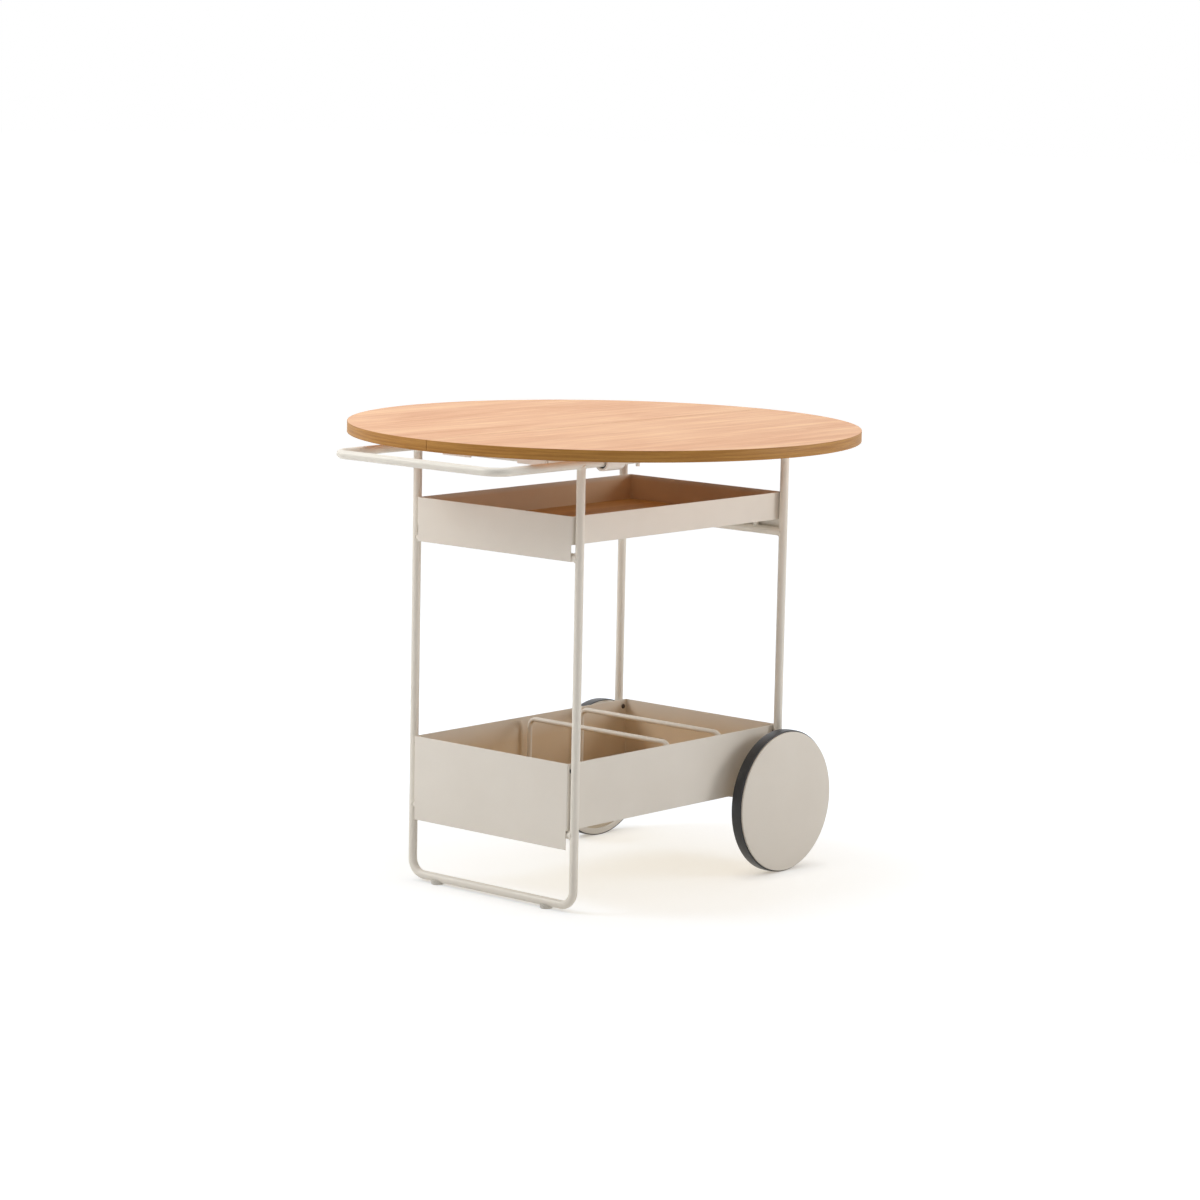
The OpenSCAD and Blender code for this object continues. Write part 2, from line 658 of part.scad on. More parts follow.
// Flanged plastic bush that runs on the axle, with its flange in the core's pocket.
module wheel_hub_bush() wheel_turned() {
    bore_r = axle_d / 2 + run_gap;
    flange_z = tyre_w - hub_pocket_h;
    translate([bore_r, -hub_proud]) square([hub_d / 2 - bore_r, hub_proud + flange_z + hub_flange_t]);
    translate([bore_r, flange_z]) square([hub_flange_d / 2 - bore_r, hub_flange_t]);
}

module far_wheel_core() color(cream) placed() wheel_core();
module far_wheel_tyre() color(charcoal) placed() wheel_tyre();
module far_wheel_outer_disc() color(cream) placed() wheel_outer_disc();
module far_wheel_inner_ring() color(cream) placed() wheel_inner_ring();
module far_wheel_hub_bush() color(black) placed() wheel_hub_bush();
module near_wheel_core() near_side() far_wheel_core();
module near_wheel_tyre() near_side() far_wheel_tyre();
module near_wheel_outer_disc() near_side() far_wheel_outer_disc();
module near_wheel_inner_ring() near_side() far_wheel_inner_ring();
module near_wheel_hub_bush() near_side() far_wheel_hub_bush();

handle_frame();
front_legs();
front_top_crossbar();
rear_top_crossbar();
front_upper_crossbar();
rear_upper_crossbar();
front_lower_crossbar();
rear_lower_crossbar();
glides();
rear_leg_plugs();
stop_pegs();
upper_tray();
upper_tray_floor_panel();
upper_tray_spacers();
upper_tray_screws();
lower_tray();
lower_tray_floor_panel();
lower_tray_bolts();
lower_tray_washers();
front_divider();
rear_divider();
divider_screws();
axle_plates();
axle_tube();
axle();
axle_washers();
axle_retaining_rings();
near_leaf_board();
near_leaf_edge_band();
near_leaf_sleeves();
near_leaf_bushes();
near_leaf_sleeve_screws();
near_leaf_clips();
near_leaf_clip_screws();
far_leaf_board();
far_leaf_edge_band();
far_leaf_sleeves();
far_leaf_bushes();
far_leaf_sleeve_screws();
far_leaf_clips();
far_leaf_clip_screws();
near_wheel_core();
near_wheel_tyre();
near_wheel_outer_disc();
near_wheel_inner_ring();
near_wheel_hub_bush();
far_wheel_core();
far_wheel_tyre();
far_wheel_outer_disc();
far_wheel_inner_ring();
far_wheel_hub_bush();
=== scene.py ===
"""Serving cart: finishes, refined surfaces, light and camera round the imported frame.

X runs along the cart away from the handle, Y across it to the far side and Z up. Sizes are fields in
millimetres times MM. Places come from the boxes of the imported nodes.
"""

import json
import logging
import math
from collections.abc import Callable, Iterable
from dataclasses import dataclass
from enum import Enum

import bmesh
import bpy
import numpy as np
from bpy.types import Material, Node, NodeSocket, Object, World
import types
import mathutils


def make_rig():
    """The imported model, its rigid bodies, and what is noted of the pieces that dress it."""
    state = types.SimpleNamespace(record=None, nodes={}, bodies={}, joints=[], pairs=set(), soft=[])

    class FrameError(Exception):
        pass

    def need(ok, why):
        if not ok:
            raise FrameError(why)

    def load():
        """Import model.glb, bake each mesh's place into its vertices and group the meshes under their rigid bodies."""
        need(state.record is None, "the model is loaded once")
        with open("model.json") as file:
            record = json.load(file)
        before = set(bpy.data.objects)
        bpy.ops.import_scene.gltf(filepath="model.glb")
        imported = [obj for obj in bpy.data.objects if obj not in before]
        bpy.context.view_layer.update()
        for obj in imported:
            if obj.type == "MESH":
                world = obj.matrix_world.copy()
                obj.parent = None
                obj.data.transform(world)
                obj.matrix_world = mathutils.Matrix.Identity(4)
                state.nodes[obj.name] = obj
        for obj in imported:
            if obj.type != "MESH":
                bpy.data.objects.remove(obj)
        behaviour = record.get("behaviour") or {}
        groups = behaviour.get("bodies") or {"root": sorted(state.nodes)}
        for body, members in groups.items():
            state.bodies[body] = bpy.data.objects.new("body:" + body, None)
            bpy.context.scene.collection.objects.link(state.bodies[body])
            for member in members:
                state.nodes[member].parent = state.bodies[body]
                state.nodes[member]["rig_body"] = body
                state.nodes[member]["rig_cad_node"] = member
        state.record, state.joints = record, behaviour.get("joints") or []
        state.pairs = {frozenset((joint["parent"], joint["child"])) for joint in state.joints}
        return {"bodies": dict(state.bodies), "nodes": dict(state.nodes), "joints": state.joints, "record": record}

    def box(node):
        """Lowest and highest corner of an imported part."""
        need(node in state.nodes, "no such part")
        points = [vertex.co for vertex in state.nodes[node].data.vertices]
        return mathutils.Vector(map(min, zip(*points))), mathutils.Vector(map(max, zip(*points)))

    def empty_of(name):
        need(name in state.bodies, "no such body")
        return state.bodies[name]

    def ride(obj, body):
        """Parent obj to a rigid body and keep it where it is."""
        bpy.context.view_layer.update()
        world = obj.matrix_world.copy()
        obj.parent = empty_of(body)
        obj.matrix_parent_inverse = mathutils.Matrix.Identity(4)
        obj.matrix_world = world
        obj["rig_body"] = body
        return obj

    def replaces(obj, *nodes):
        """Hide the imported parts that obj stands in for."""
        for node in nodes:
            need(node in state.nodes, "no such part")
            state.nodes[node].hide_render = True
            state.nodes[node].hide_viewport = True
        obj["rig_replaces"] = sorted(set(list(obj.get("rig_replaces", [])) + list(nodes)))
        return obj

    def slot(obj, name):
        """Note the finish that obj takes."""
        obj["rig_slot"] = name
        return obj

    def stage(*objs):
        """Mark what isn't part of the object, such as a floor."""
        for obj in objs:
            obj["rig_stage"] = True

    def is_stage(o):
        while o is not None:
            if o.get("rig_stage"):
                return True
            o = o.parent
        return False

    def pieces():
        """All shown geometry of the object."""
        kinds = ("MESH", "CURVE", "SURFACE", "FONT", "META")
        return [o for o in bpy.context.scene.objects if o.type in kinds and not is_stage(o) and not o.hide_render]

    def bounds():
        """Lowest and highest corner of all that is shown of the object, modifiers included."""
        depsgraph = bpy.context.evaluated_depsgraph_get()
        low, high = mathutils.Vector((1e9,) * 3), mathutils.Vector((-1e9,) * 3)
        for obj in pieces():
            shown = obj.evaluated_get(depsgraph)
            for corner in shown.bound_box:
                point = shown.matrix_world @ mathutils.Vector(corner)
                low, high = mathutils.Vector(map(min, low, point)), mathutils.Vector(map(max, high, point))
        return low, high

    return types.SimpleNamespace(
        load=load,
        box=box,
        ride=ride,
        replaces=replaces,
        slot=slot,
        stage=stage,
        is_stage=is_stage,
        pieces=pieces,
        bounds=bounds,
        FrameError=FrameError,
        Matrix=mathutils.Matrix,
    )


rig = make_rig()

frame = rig.load()
CAD_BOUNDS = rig.bounds()

log = logging.getLogger("serving_cart")
MM = 0.001
TURN = 2 * math.pi
DOUBLED = 0.001 * MM  # Points closer than this are one.
Colour = tuple[float, float, float]
Stops = tuple[tuple[float, Colour], ...]
Profile = Callable[[float, float], tuple[np.ndarray, bool]]


class Side(Enum):
    """The two sides of the cart. The value is the sign of Y there."""

    NEAR = -1
    FAR = 1

    @property
    def word(self) -> str:
        """The side's word in the names of nodes and pieces."""
        return self.name.lower()


class Turned(Enum):
    """Rotations that lay a shape built along +Z along another axis."""

    UP = ((1, 0, 0), (0, 1, 0), (0, 0, 1))
    DOWN = ((1, 0, 0), (0, -1, 0), (0, 0, -1))
    ALONG_X = ((0, 0, 1), (0, 1, 0), (-1, 0, 0))
    ALONG_Y = ((1, 0, 0), (0, 0, 1), (0, -1, 0))
    AGAINST_Y = ((1, 0, 0), (0, 0, -1), (0, 1, 0))


# Shapes


@dataclass
class Surface:
    """Points, faces and, where a pattern follows the surface, one UV pair per point."""

    points: np.ndarray
    faces: list[np.ndarray]
    uv: np.ndarray | None = None

    def moved(self, x: float = 0.0, y: float = 0.0, z: float = 0.0) -> "Surface":
        """The surface shifted by x, y and z."""
        return Surface(self.points + np.array([x, y, z]), self.faces, self.uv)

    def turned(self, way: Turned) -> "Surface":
        """The surface laid along another axis."""
        return Surface(self.points @ np.array(way.value, float).T, self.faces, self.uv)


def joined(surfaces: Iterable[Surface]) -> Surface:
    """One surface that holds several.

    Args:
        surfaces: The surfaces, each of which keeps its own shell.

    Returns:
        A surface without UVs whose faces are numbered on from shell to shell.
    """
    points: list[np.ndarray] = []
    faces: list[np.ndarray] = []
    count = 0
    for surface in surfaces:
        points.append(surface.points)
        faces += [face + count for face in surface.faces]
        count += len(surface.points)
    return Surface(np.concatenate(points), faces)


def grid_quads(rows: int, cols: int, close_rows: bool = False, close_cols: bool = False) -> np.ndarray:
    """Quads between neighbouring points of a grid that is numbered row by row.

    Args:
        rows: Number of rows.
        cols: Number of columns.
        close_rows: Whether the last row joins the first.
        close_cols: Whether the last column joins the first.

    Returns:
        An array of four point numbers per quad.
    """
    row = np.arange(rows if close_rows else rows - 1)
    col = np.arange(cols if close_cols else cols - 1)
    r0, c0 = np.meshgrid(row, col, indexing="ij")
    r1, c1 = (r0 + 1) % rows, (c0 + 1) % cols
    quads = np.stack([r0 * cols + c0, r0 * cols + c1, r1 * cols + c1, r1 * cols + c0], axis=-1)
    return quads.reshape(-1, 4)


def polar(radius: np.ndarray, height: np.ndarray, loop: bool = False) -> Surface:
    """Surface of rings round +Z: ring i at angle a has x = r cos a, y = r sin a and z = h.

    Args:
        radius: Radii, one row per ring and one column per angle.
        height: Heights, of the same shape.
        loop: Whether the last ring joins the first, as on a ring with a hole.

    Returns:
        The surface. Rings of no radius close its poles.
    """
    rings, sides = radius.shape
    angle = np.arange(sides) * TURN / sides
    points = np.stack([radius * np.cos(angle), radius * np.sin(angle), height], axis=-1)
    return Surface(points.reshape(-1, 3), [grid_quads(rings, sides, loop, True)])


def lathe(profile: np.ndarray, sides: int, loop: bool = False) -> Surface:
    """Carries a profile of (radius, height) round +Z.

    Args:
        profile: Pairs of radius and height, outwards on the left of the way that they run.
        sides: Number of angles round the axis.
        loop: Whether the profile is a closed loop clear of the axis.

    Returns:
        The turned surface.
    """
    ones = np.ones(sides)
    return polar(np.outer(profile[:, 0], ones), np.outer(profile[:, 1], ones), loop)


def arc(centre: tuple[float, float], radius: float, start: float, end: float, steps: int = 4) -> np.ndarray:
    """Points on an arc: centre + radius (cos a, sin a), with a from start to end in degrees."""
    angle = np.radians(np.linspace(start, end, steps + 1))
    return np.array(centre) + radius * np.stack([np.cos(angle), np.sin(angle)], axis=-1)


def round_rect(x: tuple[float, float], y: tuple[float, float], radius: float, steps: int = 4) -> np.ndarray:
    """Closed outline of a rectangle with round corners, anticlockwise.

    Args:
        x: Lowest and highest first coordinate.
        y: Lowest and highest second coordinate.
        radius: Radius of the corners.
        steps: Steps in each corner's arc.

    Returns:
        The outline's points.
    """
    (x0, x1), (y0, y1) = x, y
    centres = [(x1 - radius, y0 + radius), (x1 - radius, y1 - radius), (x0 + radius, y1 - radius),
               (x0 + radius, y0 + radius)]
    return np.concatenate([arc(c, radius, 90 * i - 90, 90 * i, steps) for i, c in enumerate(centres)])


def drawn_in(outline: np.ndarray, distance: float) -> np.ndarray:
    """An anticlockwise outline moved inwards: each point by distance (n1 + n2) / (1 + n1.n2).

    Args:
        outline: The closed outline's points.
        distance: How far each side moves.

    Returns:
        The points of the smaller outline.
    """
    along = np.roll(outline, -1, axis=0) - outline
    along = along / np.linalg.norm(along, axis=1, keepdims=True)
    inward = np.stack([-along[:, 1], along[:, 0]], axis=-1)
    before = np.roll(inward, 1, axis=0)
    share = 1 + np.sum(inward * before, axis=1, keepdims=True)
    return outline + distance * (inward + before) / share


def stacked(outline: np.ndarray, levels: Iterable[tuple[float, float]]) -> Surface:
    """Closed solid of an outline drawn in by a different amount at each level, with flat ends.

    Args:
        outline: The closed outline, anticlockwise in X and Y.
        levels: Pairs of how far the outline is drawn in and its height, from the bottom up.

    Returns:
        The solid's surface.
    """
    rings = []
    for inset, height in levels:
        ring = drawn_in(outline, inset)
        rings.append(np.column_stack([ring, np.full(len(ring), height)]))
    count = len(outline)
    bottom = np.arange(count)[::-1][None]
    top = (np.arange(count) + (len(rings) - 1) * count)[None]
    return Surface(np.concatenate(rings), [grid_quads(len(rings), count, False, True), bottom, top])


def eased_plate(outline: np.ndarray, low: float, high: float, ease: float, steps: int = 3) -> Surface:
    """Prism over an outline whose rims are eased by quarter arcs.

    Args:
        outline: The closed outline, anticlockwise.
        low: Height of the bottom.
        high: Height of the top.
        ease: Radius of the eased rims.
        steps: Steps in each quarter arc.

    Returns:
        The plate's surface.
    """
    angle = np.linspace(0, math.pi / 2, steps + 1)
    inset, rise = ease * (1 - np.sin(angle)), ease * (1 - np.cos(angle))
    levels = [(i, low + r) for i, r in zip(inset, rise)]
    levels += [(i, high - r) for i, r in zip(inset[::-1], rise[::-1])]
    return stacked(outline, levels)


def bent_path(corners: list[tuple[float, float, float]], radii: list[float], steps: int = 12) -> np.ndarray:
    """Centre line of a bent tube: straight runs joined by arcs.

    At a corner with directions u in and v out and a turn t, the arc starts r tan(t/2) before the corner
    and its points are centre - n r cos a + u r sin a, where n is square to u in the plane of the bend.

    Args:
        corners: The line's two ends, with its corners between them.
        radii: Bend radius at each corner between the ends.
        steps: Steps in each arc.

    Returns:
        The points of the centre line.
    """
    spots = np.array(corners, float)
    points = [spots[:1]]
    for before, corner, after, radius in zip(spots, spots[1:], spots[2:], radii):
        u = (corner - before) / np.linalg.norm(corner - before)
        v = (after - corner) / np.linalg.norm(after - corner)
        turn = math.acos(float(np.clip(u @ v, -1, 1)))
        n = v - (v @ u) * u
        n = n / np.linalg.norm(n)
        centre = corner - u * radius * math.tan(turn / 2) + n * radius
        angle = np.linspace(0, turn, steps + 1)[:, None]
        points.append(centre - n * radius * np.cos(angle) + u * radius * np.sin(angle))
    points.append(spots[-1:])
    return np.concatenate(points)


def swept(path: np.ndarray, radius: float | np.ndarray, sides: int, normals: np.ndarray | None = None,
          ease: float = 0.0) -> Surface:
    """Carries a circle along a path: point = p + r (cos a n + sin a b), with n and b square to the path.

    Args:
        path: Points of the centre line.
        radius: One radius, or one for each point.
        sides: Number of angles round the line.
        normals: Directions of n. With them the path is a closed loop; without them it has two ends.
        ease: Radius that rounds the rims of the two ends.

    Returns:
        The tube's surface, closed at its ends.
    """
    closed = normals is not None
    if closed:
        tangent = np.roll(path, -1, axis=0) - np.roll(path, 1, axis=0)
        guide = normals
    else:
        tangent = np.gradient(path, axis=0)
        guide = np.cross(np.ones(3), tangent)
    tangent = tangent / np.linalg.norm(tangent, axis=1, keepdims=True)
    n = guide - np.sum(guide * tangent, axis=1, keepdims=True) * tangent
    n = n / np.linalg.norm(n, axis=1, keepdims=True)
    size = np.broadcast_to(np.asarray(radius, float), len(path))
    if not closed:
        bend = np.linspace(0, math.pi / 2, 4)
        inset = np.concatenate([[size[0]], ease * (1 - np.sin(bend))])
        depth = np.concatenate([[0.0], ease * (1 - np.cos(bend))])
        starts, ends = path[0] + tangent[0] * depth[:, None], path[-1] - tangent[-1] * depth[::-1, None]
        path = np.concatenate([starts, path[1:-1], ends])
        more = len(depth) - 1
        tangent, n = (np.concatenate([np.repeat(a[:1], more, 0), a, np.repeat(a[-1:], more, 0)])
                      for a in (tangent, n))
        size = np.concatenate([size[0] - inset, size[1:-1], size[-1] - inset[::-1]])
    b = np.cross(tangent, n)
    angle = np.arange(sides) * TURN / sides
    ring = np.cos(angle)[None, :, None] * n[:, None] + np.sin(angle)[None, :, None] * b[:, None]
    points = path[:, None] + size[:, None, None] * ring
    return Surface(points.reshape(-1, 3), [grid_quads(len(path), sides, closed, True)])


def without_loose(surface: Surface) -> Surface:
    """The surface without points that no face uses."""
    used, numbers = np.unique(np.concatenate([f.ravel() for f in surface.faces]), return_inverse=True)
    sizes = np.cumsum([0] + [f.size for f in surface.faces])
    faces = [numbers[a:b].reshape(f.shape) for f, a, b in zip(surface.faces, sizes, sizes[1:])]
    return Surface(surface.points[used], faces, None if surface.uv is None else surface.uv[used])


# Finishes


class Nodes:
    """The nodes of a material or a world, added and linked in the order in which they are read."""

    def __init__(self, owner: Material | World) -> None:
        """Empties the owner's node tree."""
        owner.use_nodes = True
        self.tree = owner.node_tree
        self.tree.nodes.clear()

    def node(self, kind: str, inputs: dict | None = None, **settings: object) -> Node:
        """Adds a node.

        Args:
            kind: The node's type name.
            inputs: Sockets to link and values to set, by the input's name or number.
            settings: The node's own properties.

        Returns:
            The node.
        """
        made = self.tree.nodes.new(kind)
        for key, value in settings.items():
            setattr(made, key, value)
        for key, value in (inputs or {}).items():
            if isinstance(value, NodeSocket):
                self.tree.links.new(value, made.inputs[key])
            else:
                made.inputs[key].default_value = value
        return made

    def math(self, operation: str, a: NodeSocket | float, b: NodeSocket | float = 0.0) -> NodeSocket:
        """One arithmetic step on two values."""
        return self.node("ShaderNodeMath", {0: a, 1: b}, operation=operation).outputs[0]

    def axes(self, vector: NodeSocket) -> list[NodeSocket]:
        """The X, Y and Z of a vector."""
        return list(self.node("ShaderNodeSeparateXYZ", {0: vector}).outputs)

    def vectors(self, operation: str, a: NodeSocket, b: NodeSocket | Colour = (0.0, 0.0, 0.0),
                result: str = "Vector") -> NodeSocket:
        """One step on two vectors."""
        return self.node("ShaderNodeVectorMath", {0: a, 1: b}, operation=operation).outputs[result]

    def spread(self, value: NodeSocket, source: tuple[float, float], to: tuple[float, float],
               way: str = "LINEAR") -> NodeSocket:
        """A value carried from one range to another, and held at its ends."""
        inputs = {"Value": value, "From Min": source[0], "From Max": source[1], "To Min": to[0],
                  "To Max": to[1]}
        return self.node("ShaderNodeMapRange", inputs, interpolation_type=way).outputs[0]

    def blended(self, share: NodeSocket | float, a: NodeSocket | Colour, b: NodeSocket | Colour,
                way: str = "MIX") -> NodeSocket:
        """Two colours mixed by a share of the second."""
        a, b = (c if isinstance(c, NodeSocket) else (*c, 1.0) for c in (a, b))
        return self.node("ShaderNodeMix", {0: share, 6: a, 7: b}, data_type="RGBA", blend_type=way).outputs[2]

    def show(self, output: str, share: NodeSocket, light: Node, seen: Node) -> None:
        """Puts one shader on the surface for most rays, and another by a share."""
        both = self.node("ShaderNodeMixShader", {0: share, 1: light.outputs[0], 2: seen.outputs[0]})
        self.node(output, {"Surface": both.outputs[0]})

    def seen_rays(self) -> NodeSocket:
        """1 for rays that the camera sees directly, in a reflection or through clear plastic, else 0."""
        rays = self.node("ShaderNodeLightPath").outputs
        direct = self.math("MAXIMUM", rays["Is Camera Ray"], rays["Is Glossy Ray"])
        return self.math("MAXIMUM", direct, rays["Is Transmission Ray"])


class Sketch(Nodes):
    """The nodes of a piece's material round one principled shader."""

    def __init__(self, name: str) -> None:
        """Starts a material that holds a principled shader and its output."""
        self.material: Material = bpy.data.materials.new(name)
        super().__init__(self.material)
        self.shader = self.node("ShaderNodeBsdfPrincipled")
        self.node("ShaderNodeOutputMaterial", {"Surface": self.shader.outputs["BSDF"]})
        coordinates = self.node("ShaderNodeTexCoord")
        self.place = coordinates.outputs["Object"]
        self.outward = coordinates.outputs["Normal"]

    def set(self, **values: object) -> None:
        """Sets the shader's inputs; an underscore in a name stands for a space."""
        for key, value in values.items():
            socket = self.shader.inputs[key.replace("_", " ")]
            if isinstance(value, NodeSocket):
                self.tree.links.new(value, socket)
            else:
                socket.default_value = (*value, 1.0) if isinstance(value, tuple) else value

    def stretched(self, x: float, y: float, z: float, source: NodeSocket | None = None) -> NodeSocket:
        """The coordinates, or another vector, scaled along each axis."""
        vector = source or self.place
        return self.node("ShaderNodeMapping", {"Vector": vector, "Scale": (x, y, z)}).outputs[0]

    def noise(self, vector: NodeSocket, scale: float, detail: float = 2.0, rough: float = 0.5,
              warp: float = 0.0) -> NodeSocket:
        """Noise from 0 to 1 at a scale in features per metre."""
        return self.node("ShaderNodeTexNoise", {"Vector": vector, "Scale": scale, "Detail": detail,
                                                "Roughness": rough, "Distortion": warp}).outputs[0]

    def ramp(self, value: NodeSocket, stops: Stops) -> NodeSocket:
        """Colours along a value from 0 to 1."""
        made = self.node("ShaderNodeValToRGB", {0: value})
        elements = made.color_ramp.elements
        while len(elements) < len(stops):
            elements.new(0.5)
        for element, (position, colour) in zip(elements, stops):
            element.position = position
            element.color = (*colour, 1.0)
        return made.outputs[0]

    def bump(self, height: NodeSocket, depth: float, strength: float = 1.0,
             over: NodeSocket | None = None) -> NodeSocket:
        """Normals of a height pattern that is depth metres from its lowest to its highest."""
        inputs = {"Height": height, "Distance": depth, "Strength": strength}
        if over is not None:
            inputs["Normal"] = over
        return self.node("ShaderNodeBump", inputs).outputs[0]


@dataclass(frozen=True)
class Finish:
    """A finish of one material slot, made into a material once."""

    slot: str

    @property
    def name(self) -> str:
        """The material's name, apart from the plain one that comes with the frame."""
        return f"{self.slot}_finish"

    def material(self) -> Material:
        """The finish's material, built the first time that it is asked for."""
        return bpy.data.materials.get(self.name) or self.build()

    def build(self) -> Material:
        """Builds the material."""
        raise NotImplementedError


@dataclass(frozen=True)
class PowderCoat(Finish):
    """Baked powder paint: an even colour with a fine orange peel, faint mottling and scattered nibs."""

    colour: Colour
    shade: Colour
    roughness: float = 0.42
    peel: float = 0.02 * MM
    peel_scale: float = 700.0

    def build(self) -> Material:
        """Mottles two near colours by slow noise and raises the peel and its grain by bump."""
        s = Sketch(self.name)
        cloud = s.noise(s.place, 7.0, 3.0, 0.55)
        grain = s.noise(s.place, self.peel_scale * 3.5, 2.0, 0.6)
        tone = s.math("ADD", s.math("MULTIPLY", cloud, 0.75), s.math("MULTIPLY", grain, 0.25))
        s.set(Base_Color=self.tinted(s, s.ramp(tone, ((0.3, self.shade), (0.68, self.colour)))))
        cast = s.noise(s.place, 38.0, 4.0, 0.6)
        rough = s.spread(cast, (0.3, 0.7), (self.roughness - 0.05, self.roughness + 0.07))
        peel = s.noise(s.place, self.peel_scale, 2.0, 0.5)
        fine = s.bump(grain, self.peel * 0.3, 0.3)
        s.set(Roughness=rough, Normal=s.bump(peel, self.peel, 0.3, fine), Specular_IOR_Level=0.5)
        return s.material

    def tinted(self, s: Sketch, paint: NodeSocket) -> NodeSocket:
        """The paint's colour unchanged: no bounce light is painted into it."""
        return paint


@dataclass(frozen=True)
class Glow:
    """Painted bounce light: a warm tint in the paint's colour that stands in for the light a tray's wooden floor
    throws on the inner walls.
    """

    tray: str
    fade: float
    colour: Colour


@dataclass(frozen=True)
class TrayCoat(PowderCoat):
    """Powder paint of the trays with painted bounce light: warmer low down on the inner walls, where the wooden floor
    would shine on it.
    """

    # Painted bounce light for each tray: how far below the rim it fades and its warm colour.
    glows: tuple[Glow, ...] = (
        Glow("lower_tray", 38.0 * MM, (0.88, 0.76, 0.6)),
        Glow("upper_tray", 9.0 * MM, (0.93, 0.75, 0.55)),
    )
    inner: tuple[float, float] = (-0.06, -0.01)
    floor_fade: float = 1.0 * MM

    def tinted(self, s: Sketch, paint: NodeSocket) -> NodeSocket:
        """Paints bounce light into the paint: warms it by how far a point of an inner wall lies below its tray's rim.

        A face belongs to an inner wall where its normal, times its level distance in metres from the tray's
        middle, is below nothing: wholly at the lower number of inner and not at all at the higher.
        """
        low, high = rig.box("lower_tray")
        middle = ((low.x + high.x) / 2, 0.0, 0.0)
        level = s.vectors("MULTIPLY", s.vectors("SUBTRACT", s.place, middle), (1.0, 1.0, 0.0))
        inner = s.spread(s.vectors("DOT_PRODUCT", level, s.outward, "Value"), self.inner, (1.0, 0.0))
        height = s.axes(s.place)[2]
        for glow in self.glows:
            floor_z, rim_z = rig.box(f"{glow.tray}_floor_panel")[0].z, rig.box(glow.tray)[1].z
            below = s.spread(height, (rim_z - glow.fade, rim_z), (1.0, 0.0))
            above = s.spread(height, (floor_z - self.floor_fade, floor_z), (0.0, 1.0))
            share = s.math("MULTIPLY", inner, s.math("MULTIPLY", below, above))
            # Painted bounce light: the paint is multiplied by the warm colour of the floor's light.
            paint = s.blended(share, paint, glow.colour, "MULTIPLY")
        return paint


@dataclass(frozen=True)
class OakVeneer(Finish):
    """Sliced oak with its grain along X: slow figure, growth lines, pores and a few flecks of ray."""

    deep: Colour
    middle: Colour
    pale: Colour
    roughness: float = 0.46
    sway: float = 50.0 * MM
    pore_depth: float = 0.05 * MM

    def build(self) -> Material:
        """Lays stretched noises over each other for colour, and sinks the pores by bump."""
        s = Sketch(self.name)
        sway = s.noise(s.stretched(2.2, 5.0, 5.0), 1.0, 2.0)
        x, y, z = s.axes(s.place)
        bent = s.math("ADD", y, s.math("MULTIPLY", sway, self.sway))
        along = s.node("ShaderNodeCombineXYZ", {0: x, 1: bent, 2: z}).outputs[0]
        figure = s.noise(s.stretched(1.6, 17.0, 17.0, along), 1.0, 5.0, 0.6, 0.5)
        lines = s.noise(s.stretched(3.0, 150.0, 150.0, along), 1.0, 3.0, 0.65)
        patch = s.noise(s.stretched(3.4, 9.0, 9.0), 1.0, 3.0, 0.55, 0.8)
        tone = s.math("ADD", s.math("MULTIPLY", figure, 0.4), s.math("MULTIPLY", lines, 0.4))
        tone = s.math("ADD", tone, s.math("MULTIPLY", patch, 0.2))
        wood = s.ramp(tone, ((0.39, self.deep), (0.5, self.middle), (0.61, self.pale)))
        dash = s.noise(s.stretched(55.0, 1900.0, 1900.0, along), 1.0, 2.0, 0.6)
        pore = s.spread(dash, (0.62, 0.74), (0.0, 1.0))
        ray = s.noise(s.stretched(13.0, 190.0, 190.0), 1.0, 3.0, 0.55, 0.5)
        fleck = s.spread(ray, (0.56, 0.72), (0.0, 0.7))
        wood = s.blended(s.math("MULTIPLY", pore, 0.4), wood, self.deep, "MULTIPLY")
        wood = s.blended(fleck, wood, self.pale)
        rough = s.math("ADD", s.math("MULTIPLY", pore, 0.18),
                       s.spread(lines, (0.3, 0.7), (self.roughness, self.roughness + 0.08)))
        sunk = s.math("SUBTRACT", s.math("MULTIPLY", lines, 0.25), pore)
        s.set(Base_Color=wood, Roughness=rough, Normal=s.bump(sunk, self.pore_depth, 0.5),
              Specular_IOR_Level=0.2)
        return s.material


@dataclass(frozen=True)
class OakBand(Finish):
    """Oak edge band whose grain follows the edge, by the piece's own UV map, under the top's veneer."""

    deep: Colour
    pale: Colour
    veneer: Colour
    upward: tuple[float, float] = (0.8, 0.97)
    pore_depth: float = 0.05 * MM

    def build(self) -> Material:
        """Stretches noises along the band's length, sinks its pores, and lays the veneer's colour on top."""
        s = Sketch(self.name)
        run = s.node("ShaderNodeUVMap", uv_map="grain").outputs[0]
        figure = s.noise(s.stretched(9.0, 330.0, 1.0, run), 1.0, 4.0, 0.6, 0.3)
        lines = s.noise(s.stretched(30.0, 2100.0, 1.0, run), 1.0, 3.0, 0.6)
        tone = s.math("ADD", s.math("MULTIPLY", figure, 0.6), s.math("MULTIPLY", lines, 0.4))
        wood = s.ramp(tone, ((0.36, self.deep), (0.62, self.pale)))
        pore = s.spread(s.noise(s.stretched(120.0, 3600.0, 1.0, run), 1.0, 2.0), (0.6, 0.74), (0.0, 1.0))
        wood = s.blended(s.math("MULTIPLY", pore, 0.45), wood, self.deep, "MULTIPLY")
        wood = s.blended(s.spread(s.axes(s.outward)[2], self.upward, (0.0, 1.0)), wood, self.veneer)
        s.set(Base_Color=wood, Roughness=s.spread(lines, (0.3, 0.7), (0.44, 0.56)),
              Normal=s.bump(s.math("SUBTRACT", lines, pore), self.pore_depth, 0.5), Specular_IOR_Level=0.35)
        return s.material


